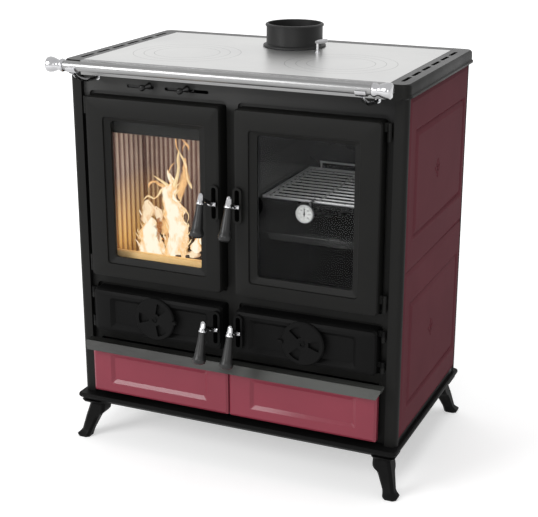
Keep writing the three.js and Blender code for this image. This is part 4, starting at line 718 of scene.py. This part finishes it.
flame_rows("fire_left_body", -142, 11, [
    (424, -262, -188), (433, -259, -189), (444, -259, -194), (455, -254, -199), (463, -260, -203),
    (469, -257, -206), (480, -255, -208), (490, -247, -211), (500, -238, -215), (506, -231, -220),
    (511, -226, -224)], BODY_FIRE)
flame_rows("fire_left_veil", -128, 6, [
    (492, -254, -242), (500, -262, -235), (510, -259, -228), (519, -256, -223), (527, -255, -220),
    (535, -253, -228), (541, -249, -236), (545, -244, -241)], PEACH_FIRE)
flame_rows("fire_middle_veil", -126, 5, [
    (499, -217, -209), (505, -222, -205), (512, -226, -203), (518, -228, -205), (524, -228, -209),
    (529, -227, -218), (532, -224, -221)], PEACH_FIRE)
flame_rows("fire_column", -152, 12, [
    (424, -184, -137), (433, -190, -135), (443, -192, -134), (455, -187, -132), (467, -181, -131),
    (480, -178, -131), (492, -178, -131), (502, -179, -131), (509, -181, -134), (516, -186, -141),
    (524, -191, -143), (532, -192, -138), (538, -192, -134), (544, -191, -141), (554, -191, -150),
    (564, -190, -160), (574, -191, -161), (582, -191, -158), (588, -183, -158), (593, -176, -162),
    (597, -171, -167)], BODY_FIRE)
flame_rows("fire_glow_bed", -112, 8, [
    (420, -212, -160), (440, -212, -164), (460, -214, -168), (480, -212, -172), (497, -206, -176),
    (512, -200, -182), (524, -193, -187)], DEEP_FIRE)
flame_rows("fire_seam", -134, 5, [
    (420, -200, -178), (434, -199, -181), (446, -198, -184), (458, -201, -187), (468, -198, -190),
    (477, -194, -191)], PALE_FIRE)
flame_rows("fire_swirl_low", -122, 7, [
    (470, -214, -196), (480, -220, -180), (492, -222, -174), (505, -214, -172), (516, -204, -176),
    (524, -196, -184)], PALE_FIRE)
flame_rows("fire_swirl_high", -130, 6, [
    (556, -164, -158), (566, -168, -152), (578, -170, -146), (590, -166, -140), (602, -160, -136),
    (616, -156, -138), (632, -152, -142), (648, -149, -145)], PALE_FIRE)
flame_tongue("fire_curl_low", -135, [
    (-252, 541, 0.5), (-244, 550, 1.7), (-237, 556, 2.4), (-229, 554, 2.0), (-222, 552, 2.3),
    (-214, 557, 2.5), (-207, 566, 3.0), (-202, 574, 4.0), (-194, 578, 5.0)], THIN_FIRE)
flame_tongue("fire_curl_high", -134, [
    (-235, 574, 0.6), (-233, 582, 2.6), (-227, 588, 3.6), (-218, 590, 3.0), (-210, 586, 3.6),
    (-201, 583, 5.0), (-190, 582, 6.0)], PALE_FIRE)
flame_tongue("fire_streak", -140, [
    (-219, 605, 0.3), (-211, 601, 1.8), (-203, 597, 2.4), (-194, 592, 3.0), (-184, 586, 3.5),
    (-178, 580, 3.5)], THIN_FIRE)
flame_tongue("fire_fork", -146, [
    (-181, 623, 0.4), (-179, 615, 3.2), (-175, 607, 5.2), (-170, 598, 6.6), (-167, 588, 6.5)], BODY_FIRE)
flame_tongue("fire_wisp", -150, [
    (-160, 642, 0.3), (-167, 636, 1.2), (-172, 629, 1.5), (-175, 622, 1.2), (-176, 616, 0.6)], PALE_FIRE)
flame_tongue("fire_tall", -152, [
    (-149, 671, 0.3), (-151, 660, 2.4), (-152, 648, 3.4), (-151, 635, 3.2), (-153, 620, 3.4),
    (-157, 605, 4.4), (-162, 592, 6.0), (-166, 582, 7.0)], THIN_FIRE)
flame_tongue("fire_right", -156, [
    (-146, 668, 0.4), (-142, 660, 1.8), (-136, 650, 2.5), (-131, 637, 2.3), (-130, 622, 1.8),
    (-127, 608, 2.2), (-122, 599, 3.0), (-118, 590, 0.5)], THIN_FIRE)
flame_tongue("fire_top_streak", -152, [
    (-156, 697, 0.8), (-156, 688, 1.6), (-155, 678, 1.5), (-152, 671, 1.2), (-149, 664, 1.0)], PALE_FIRE)
flame_tongue("fire_top_curl", -156, [
    (-142, 698, 0.4), (-137, 693, 1.6), (-130, 687, 2.2), (-125, 681, 2.4), (-124, 674, 0.5)], PALE_FIRE)
flame_tongue("fire_top_hook", -156, [
    (-130, 686, 0.6), (-135, 682, 1.4), (-138, 676, 1.2), (-138, 669, 0.3)], PALE_FIRE)
flame_tongue("fire_side_lick", -157, [
    (-146, 546, 4.0), (-138, 542, 2.6), (-131, 538, 1.6), (-127, 531, 1.2), (-128, 522, 1.0),
    (-131, 514, 0.4)], THIN_FIRE)
flame_rows("fire_dark_gap", -166, 2.5, [
    (466, -196, -193), (474, -202, -190), (483, -206, -187), (492, -204, -184), (499, -209, -187),
    (507, -205, -183), (515, -203, -189), (520, -196, -192)], DEEP_FIRE)

# Small licks along the edges of the two bodies: across, level and the way each leans
LICK_ROOTS = [
    (-258, 446, -1), (-257, 462, -1), (-254, 476, -1), (-246, 490, -1), (-233, 503, -1), (-214, 492, 1),
    (-207, 474, 1), (-203, 460, 1), (-190, 470, -1), (-181, 492, -1), (-188, 518, -1), (-190, 548, -1),
    (-190, 570, -1), (-134, 462, 1), (-133, 486, 1), (-134, 500, 1), (-146, 514, 1), (-151, 556, 1),
    (-160, 572, 1), (-159, 586, 1), (-250, 517, -1), (-222, 519, 1),
]
LICK_PLANE = -146
LICK_ROOT = 3
LICK_TIP = 0.2
random_lick = random.Random(7)
for i, (x, z, way) in enumerate(LICK_ROOTS):
    long = random_lick.uniform(9, 17)
    lean = way * random_lick.uniform(0.25, 0.6)
    wide = random_lick.uniform(1.1, 2.0)
    bend = random_lick.uniform(-0.25, 0.25)
    y = LICK_PLANE + random_lick.uniform(-8, 6)
    flame_tongue(f"fire_lick_{i:02d}", y, [
        (x - way * LICK_ROOT, z - LICK_ROOT, wide),
        (x + lean * long * 0.35, z + long * 0.35, wide * 0.9),
        (x + (lean + bend) * long * 0.7, z + long * 0.7, wide * 0.55),
        (x + (lean + 2 * bend) * long, z + long, LICK_TIP),
    ], BODY_FIRE if i % 4 == 0 else THIN_FIRE)


# One more rib at the front of each side wall of the lining, its ends a little thinner
FRONT_RIB_SIDES = 10
FRONT_RIB_Y = -162.7
FRONT_RIB_SINK = 0.3
FRONT_RIB_FOOT = 406
FRONT_RIB_TOP = 775
FRONT_RIB_EASE = 1
FRONT_RIB_EASE_LENGTH = 2


def front_rib(name, wall, way):
    """Half a round rod that stands out of a side wall."""
    levels = ((FRONT_RIB_FOOT, FRONT_RIB_EASE), (FRONT_RIB_FOOT + FRONT_RIB_EASE_LENGTH, 0),
              (FRONT_RIB_TOP - FRONT_RIB_EASE_LENGTH, 0), (FRONT_RIB_TOP, FRONT_RIB_EASE))
    turns = [math.pi * (i / FRONT_RIB_SIDES - 0.5) for i in range(FRONT_RIB_SIDES + 1)]
    rings = []
    for level, ease in levels:
        radius = SIDE_RIB - ease
        rings.append([spot(wall + way * (radius * math.cos(turn) - FRONT_RIB_SINK),
                           FRONT_RIB_Y + radius * math.sin(turn), level) for turn in turns])
    points, faces = skin(rings)
    return solid(name, points, faces, BRICK, "stove")


front_rib("front_rib_left", LINING_LEFT, 1)
front_rib("front_rib_right", LINING_RIGHT, -1)


def slot_shade_sheet(name, left, right, low, high, front, rear, corner):
    """A thin black sheet with cut corners behind the air slots: painted shade that keeps the slots dark."""
    outline = [(left + corner, low), (right - corner, low), (right, low + corner), (right, high - corner),
               (right - corner, high), (left + corner, high), (left, high - corner), (left, low + corner)]
    rings = [[spot(x, y, z) for x, z in outline] for y in (front, rear)]
    points, faces = skin(rings)
    return solid(name, points, faces, BLACK_COVER_AND_PAINTED_SHADE, "stove", smooth=False)


# Painted shade: a black sheet behind the air slots, where the firebox would show through.
slot_shade_sheet("air_slot_painted_shade", left=-244, right=-50, low=797, high=821, front=-192, rear=-190.5, corner=1.5)

# Logs, embers and coals
LOG_SIDES = 18
LOG_STEPS = 14
LOG_END = 0.18
LOG_TAPER = 0.22


def burning_log(name, start, stop, radius, seed):
    """A rough split log between two places, a little thinner towards its ends."""
    axis = stop - start
    length = axis.length
    axis.normalize()
    side = axis.cross(Vector((0, 0, 1))).normalized()
    up = side.cross(axis).normalized()
    rings = []
    for i in range(LOG_STEPS + 1):
        t = i / LOG_STEPS
        near_end = max(0, abs(2 * t - 1) - 1 + LOG_END) / LOG_END
        thick = radius * (1 - LOG_TAPER * near_end)
        ring = []
        for across, upward in circle(LOG_SIDES):
            out = side * across + up * upward
            rough = noise.noise(out * 1.6 + Vector((t * 2.5, seed, 0)))
            fine = noise.noise(out * 5 + Vector((t * 9, seed, 3)))
            reach = thick * (1 + 0.14 * rough + 0.06 * fine)
            ring.append(start + axis * (t * length) + out * reach)
        rings.append(ring)
    points, faces = skin(rings)
    return solid(name, points, faces, CHARRED, "stove")


burning_log("log_rear", spot(-262, -72, GRATE_TOP + 24), spot(-92, -78, GRATE_TOP + 22), 19 * MM, 1.0)
burning_log("log_front", spot(-240, -118, GRATE_TOP + 18), spot(-78, -124, GRATE_TOP + 20), 15 * MM, 5.0)
burning_log("log_top", spot(-228, -92, GRATE_TOP + 54), spot(-100, -104, GRATE_TOP + 58), 15 * MM, 9.0)
burning_log("log_end", spot(-116, -150, 470), spot(-70, -146, 462), 13 * MM, 13.0)
flame_rows("ember_right", -166, 6, [
    (454, -110, -98), (459, -119, -93), (465, -121, -90), (471, -116, -89), (477, -111, -92),
    (483, -107, -94), (488, -101, -97)], BODY_FIRE)
flame_rows("ember_low", -166, 4, [
    (441, -124, -104), (445, -132, -97), (449, -133, -94), (453, -124, -97), (457, -114, -103)], PEACH_FIRE)
burning_log("coal_left", spot(-153, -171, 440), spot(-141, -170, 441), 3 * MM, 31.0)
burning_log("coal_right", spot(-128, -172, 443), spot(-120, -171, 444), 3.4 * MM, 35.0)


def baffle(name, left, right, low, high, rear, depth, wall):
    """A shallow folded tray behind the vents of the back panel, its rim on the panel."""
    def ring(inset, y):
        corners = ((left + inset, low + inset), (right - inset, low + inset),
                   (right - inset, high - inset), (left + inset, high - inset))
        return [spot(x, y, z) for x, z in corners]

    front = rear - depth
    points, faces = skin([ring(wall, front + wall), ring(wall, rear), ring(0, rear), ring(0, front)])
    return solid(name, points, faces, SHEET, "stove", smooth=False)


def seat(name, origin, direction):
    """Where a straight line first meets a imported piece."""
    data = nodes[name].data
    corners = [vertex.co.copy() for vertex in data.vertices]
    faces = [tuple(polygon.vertices) for polygon in data.polygons]
    place, _, _, _ = BVHTree.FromPolygons(corners, faces).ray_cast(origin, Vector(direction))
    return place


before_panel = spot(200, 160, 700)
panel_inside = (seat("back_panel", before_panel, (0, 1, 0)).y - MODEL_SHIFT) / MM
baffle("vent_baffle", left=-322, right=322, low=728, high=822, rear=panel_inside, depth=9, wall=1.2)


# Latch covers behind the glass: a boss that grows out of the rim of each door
COVER_RADIUS = 22
COVER_STEPS = 22
COVER_FLAT = 42.8
COVER_X = 48
COVER_Z = 587
COVER_LAYERS = ((-213.1, 0), (-208.4, 0), (-207.2, 1.2))


def latch_cover(name, sign, body):
    """A disc with one flat side, eased at the rear."""
    reach = math.acos((COVER_FLAT - COVER_X) / COVER_RADIUS)
    rings = []
    for y, inset in COVER_LAYERS:
        radius = COVER_RADIUS - inset
        ring = []
        for i in range(COVER_STEPS + 1):
            turn = -reach + 2 * reach * i / COVER_STEPS
            x = max(COVER_X + radius * math.cos(turn), COVER_FLAT)
            ring.append(spot(sign * x, y, COVER_Z + radius * math.sin(turn)))
        rings.append(ring)
    points, faces = skin(rings)
    return solid(name, points, faces, BLACK_COVER_AND_PAINTED_SHADE, body, smooth=False)


latch_cover("latch_cover_right", 1, "oven_door_leaf")
latch_cover("latch_cover_left", -1, "firebox_door_leaf")


# Cast flower in the middle of each side panel
PETAL_STEPS = 9
PETAL_ACROSS = 6
PETAL_GROOVE = 0.35
PETAL_GROOVE_WIDTH = 0.22
SINK = 0.4
PETAL = {"length": 15.5, "width": 10.5, "height": 2.0, "start": 4.6}
LEAF = {"length": 8.0, "width": 4.6, "height": 1.4, "start": 5.6}
FLOWER_PLACES = {"upper": (-3, 651), "lower": (-4, 300)}
LINE_FROM = 500
LINE_BESIDE = 30
DOME_SIDES = 16
DOME = ((4.2, -SINK), (4.2, 0.7), (3.6, 1.5), (2.3, 2.1), (0.8, 2.35))


def grid_solid(top, bottom, rows, columns):
    """Faces of a slab between two grids."""
    points = top + bottom
    offset = len(top)
    faces = []

    def at(i, k, low=0):
        return low * offset + i * (columns + 1) + k

    for i in range(rows):
        for k in range(columns):
            faces.append((at(i, k), at(i + 1, k), at(i + 1, k + 1), at(i, k + 1)))
            faces.append((at(i, k, 1), at(i, k + 1, 1), at(i + 1, k + 1, 1), at(i + 1, k, 1)))
    for i in range(rows):
        faces.append((at(i, 0), at(i, 0, 1), at(i + 1, 0, 1), at(i + 1, 0)))
        faces.append((at(i, columns), at(i + 1, columns), at(i + 1, columns, 1), at(i, columns, 1)))
    for k in range(columns):
        faces.append((at(0, k), at(0, k + 1), at(0, k + 1, 1), at(0, k, 1)))
        faces.append((at(rows, k), at(rows, k, 1), at(rows, k + 1, 1), at(rows, k + 1)))
    return points, faces


def petal(length, width, height, start):
    """A petal with a groove along it: its points as (u along, v across, h outward), and its faces."""
    top, bottom = [], []
    for i in range(PETAL_STEPS + 1):
        t = i / PETAL_STEPS
        u = start + length * t
        half = width / 2 * max(math.sin(math.pi * min(1.0, 0.08 + 0.92 * t)) ** 0.7, 0.02)
        rise = height * math.sin(math.pi * (0.06 + 0.88 * t)) ** 0.6
        for k in range(PETAL_ACROSS + 1):
            s = 2 * k / PETAL_ACROSS - 1
            groove = PETAL_GROOVE * math.exp(-(s / PETAL_GROOVE_WIDTH) ** 2)
            top.append((u, half * s, rise * max(1 - s * s - groove, 0)))
            bottom.append((u, half * s, -SINK))
    return grid_solid(top, bottom, PETAL_STEPS, PETAL_ACROSS)


def flower(level, side, y, z):
    """Four petals in a cross, four small leaves between them and a domed middle."""
    sign = 1 if side == "right" else -1
    outside = spot(sign * LINE_FROM, y + LINE_BESIDE, z + LINE_BESIDE)
    base = seat(f"side_panel_{level}_{side}", outside, (-sign, 0, 0)).x
    points, faces = [], []

    def add(flat_points, flat_faces, turn):
        placed = []
        for u, v, h in flat_points:
            across = u * math.cos(turn) - v * math.sin(turn)
            upward = u * math.sin(turn) + v * math.cos(turn)
            place = spot(0, y + across, z + upward)
            placed.append(Vector((base + sign * h * MM, place.y, place.z)))
        join(points, faces, placed, flat_faces)

    large = petal(**PETAL)
    small = petal(**LEAF)
    for quarter in range(4):
        turn = quarter * math.pi / 2
        add(*large, turn)
        add(*small, turn + math.pi / 4)
    dome = [[(radius * u, radius * v, height) for u, v in circle(DOME_SIDES)] for radius, height in DOME]
    add(*skin(dome), 0)
    return solid(f"flower_{level}_{side}", points, faces, SIDE_RED_PAINTED_SHADE, "stove")


for side in SIDES:
    for level, (y, z) in FLOWER_PLACES.items():
        flower(level, side, y, z)


# Thermometer print: ticks and numbers just proud of the face
TICKS = 31
TICKS_PER_NUMBER = 5
SWEEP = math.radians(270)
SWEEP_START = math.radians(225)
TICK_OUTSIDE = 0.81 * DIAL_RADIUS
LONG_TICK = (0.68 * DIAL_RADIUS, 0.32 * MM)
SHORT_TICK = (0.74 * DIAL_RADIUS, 0.18 * MM)
PRINT_SINK = 0.1 * MM
PRINT_RISE = 0.15 * MM
NUMBERS = ("0", "50", "100", "150", "200", "250", "300")
NUMBER_SIZE = 3.6 * MM
HALF_NUMBER_DEPTH = 0.1 * MM
NUMBER_CIRCLE = 0.54 * DIAL_RADIUS

before_face = Vector((DIAL_X + 0.4 * DIAL_RADIUS, DIAL_LOW.y - 50 * MM, DIAL_Z))
face_y = seat("thermometer_case", before_face, (0, 1, 0)).y


def dial_ticks():
    """One mesh of small bars round the face, every fifth one longer and wider."""
    points, faces = [], []
    for i in range(TICKS):
        turn = SWEEP_START - SWEEP * i / (TICKS - 1)
        inner, half = SHORT_TICK if i % TICKS_PER_NUMBER else LONG_TICK
        along = Vector((math.cos(turn), 0, math.sin(turn)))
        side = Vector((-math.sin(turn), 0, math.cos(turn))) * half
        rings = []
        for y in (face_y + PRINT_SINK, face_y - PRINT_RISE):
            middle = Vector((DIAL_X, y, DIAL_Z))
            corners = ((inner, 1), (TICK_OUTSIDE, 1), (TICK_OUTSIDE, -1), (inner, -1))
            rings.append([middle + along * reach + side * way for reach, way in corners])
        join(points, faces, *skin(rings))
    return solid("dial_ticks", points, faces, PRINT, "stove", smooth=False)


def dial_number(number, turn):
    """One number on the face, made from a font and kept as a mesh."""
    text = bpy.data.curves.new(f"dial_number_{number}", "FONT")
    text.body = number
    text.size = NUMBER_SIZE
    text.extrude = HALF_NUMBER_DEPTH
    text.align_x = "CENTER"
    text.align_y = "CENTER"
    carrier = bpy.data.objects.new(f"dial_text_{number}", text)
    bpy.context.scene.collection.objects.link(carrier)
    bpy.context.view_layer.update()
    shown = carrier.evaluated_get(bpy.context.evaluated_depsgraph_get())
    data = bpy.data.meshes.new_from_object(shown)
    bpy.data.objects.remove(carrier)
    data.materials.clear()
    data.materials.append(PRINT)
    piece = bpy.data.objects.new(f"dial_number_{number}", data)
    bpy.context.scene.collection.objects.link(piece)
    piece.rotation_euler = (math.pi / 2, 0, 0)
    piece.location = (DIAL_X + NUMBER_CIRCLE * math.cos(turn), face_y - HALF_NUMBER_DEPTH,
                      DIAL_Z + NUMBER_CIRCLE * math.sin(turn))
    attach(piece, "stove")


dial_ticks()
for i, number in enumerate(NUMBERS):
    dial_number(number, SWEEP_START - SWEEP * i / (len(NUMBERS) - 1))


# Screws on the back panel: a domed head, seated on the sheet
SCREW_RADIUS = 4.5 * MM
SCREW_SIDES = 20
SCREW_LAYERS = ((1.0, -0.3 * MM), (1.0, 0.6 * MM), (0.86, 1.3 * MM), (0.55, 1.7 * MM), (0.2, 1.8 * MM))
SCREW_LEVELS = (135, 470, 800)
SCREW_COLUMNS = (-350, -118, 118, 350)
BEHIND_STOVE = 300


def screw(name, x, z):
    """A screw head that looks to the rear."""
    place = seat("back_panel", spot(x, BEHIND_STOVE, z), (0, -1, 0))
    out = Vector((0, 1, 0))
    side = out.orthogonal().normalized()
    up = out.cross(side)
    rings = []
    for share, height in SCREW_LAYERS:
        reach = SCREW_RADIUS * share
        rings.append([place + out * height + (side * u + up * v) * reach for u, v in circle(SCREW_SIDES)])
    points, faces = skin(rings)
    return solid(name, points, faces, SCREW, "stove")


for row, z in enumerate(SCREW_LEVELS):
    for column, x in enumerate(SCREW_COLUMNS):
        screw(f"back_screw_{row}_{column}", x, z)


# Stage: pale floor, white surroundings for what looks at them, soft lamps

def seen_by(tree):
    """One where the camera, a reflection or a look through glass asks, zero elsewhere."""
    rays = tree.nodes.new("ShaderNodeLightPath")
    result = rays.outputs["Is Camera Ray"]
    for kind in ("Is Glossy Ray", "Is Transmission Ray"):
        either = tree.nodes.new("ShaderNodeMath")
        either.operation = "MAXIMUM"
        tree.links.new(result, either.inputs[0])
        tree.links.new(rays.outputs[kind], either.inputs[1])
        result = either.outputs[0]
    return result


WHITE = (1, 1, 1, 1)
WORLD_LIGHT = 0.42


def white_world():
    """White for what looks at it, and a softer light for the rest."""
    world = bpy.data.worlds.new("studio")
    bpy.context.scene.world = world
    world.use_nodes = True
    tree = world.node_tree
    tree.nodes.clear()
    mix = tree.nodes.new("ShaderNodeMixShader")
    tree.links.new(seen_by(tree), mix.inputs[0])
    for strength, socket in ((WORLD_LIGHT, mix.inputs[1]), (1.0, mix.inputs[2])):
        light = tree.nodes.new("ShaderNodeBackground")
        light.inputs["Color"].default_value = WHITE
        light.inputs["Strength"].default_value = strength
        tree.links.new(light.outputs[0], socket)
    sky = tree.nodes.new("ShaderNodeOutputWorld")
    tree.links.new(mix.outputs[0], sky.inputs["Surface"])


FLOOR_REACH = 12
FLOOR_GLOW = 0.45
FLOOR_GLOW_FROM = 0.8
FLOOR_WHITE_FROM = 3.0


def floor_look():
    """Pale floor that glows for what looks at it, up to plain white far from the stove."""
    g = Graph("floor_white")
    shader = g.surface(g.blend(g.noise(0.5), grey(0.72), grey(0.74)), 0.9, None, Specular_IOR_Level=0.0)
    shader.inputs["Emission Color"].default_value = WHITE
    x, y, _ = g.axes()
    glow = g.spread(g.distance(x, y), FLOOR_GLOW, 1.0, FLOOR_GLOW_FROM, FLOOR_WHITE_FROM)
    g.link(g.math("MULTIPLY", seen_by(g.tree), glow), shader.inputs["Emission Strength"])
    return g.material


white_world()
floor_mesh = bmesh.new()
bmesh.ops.create_grid(floor_mesh, x_segments=2, y_segments=2, size=FLOOR_REACH)
floor_data = bpy.data.meshes.new("floor")
floor_mesh.to_mesh(floor_data)
floor_mesh.free()
floor_data.materials.append(floor_look())
floor = bpy.data.objects.new("floor", floor_data)
bpy.context.scene.collection.objects.link(floor)


def lamp(name, place, target, size, power, colour=(1, 1, 1)):
    """A rectangular lamp in metres and watts, unseen through glass."""
    data = bpy.data.lights.new(name, "AREA")
    data.shape = "RECTANGLE"
    data.size, data.size_y = size
    data.energy = power
    data.color = colour
    light = bpy.data.objects.new(name, data)
    light.location = place
    light.rotation_mode = "QUATERNION"
    light.rotation_quaternion = (Vector(target) - Vector(place)).to_track_quat("-Z", "Y")
    light.visible_transmission = False
    bpy.context.scene.collection.objects.link(light)
    return light


MIDDLE = (0, 0, 0.5)
lamp("key_left", (-2.2, -3.0, 2.2), MIDDLE, (1.8, 1.8), 90)
lamp("fill_front", (1.0, -3.6, 1.5), MIDDLE, (2.0, 1.6), 30)
lamp("top_soft", (0, 0.4, 3.0), (0, 0, 0.8), (2.4, 2.0), 45).visible_glossy = False

# Two lamps inside, which light the firebox and the oven and are unseen themselves
fire_x = (FIRE_LOW.x + FIRE_HIGH.x) / 2 / MM
fire_glow = lamp("fire_glow", spot(fire_x, -185, 600), spot(fire_x, 0, 600), (0.22, 0.30), 0.30,
                 (1.0, 0.88, 0.76))
oven_light = lamp("oven_light", spot(166, -188, 735), spot(166, 60, 560), (0.20, 0.05), 0.22)
for light in (fire_glow, oven_light):
    light.visible_camera = False
    light.visible_glossy = False
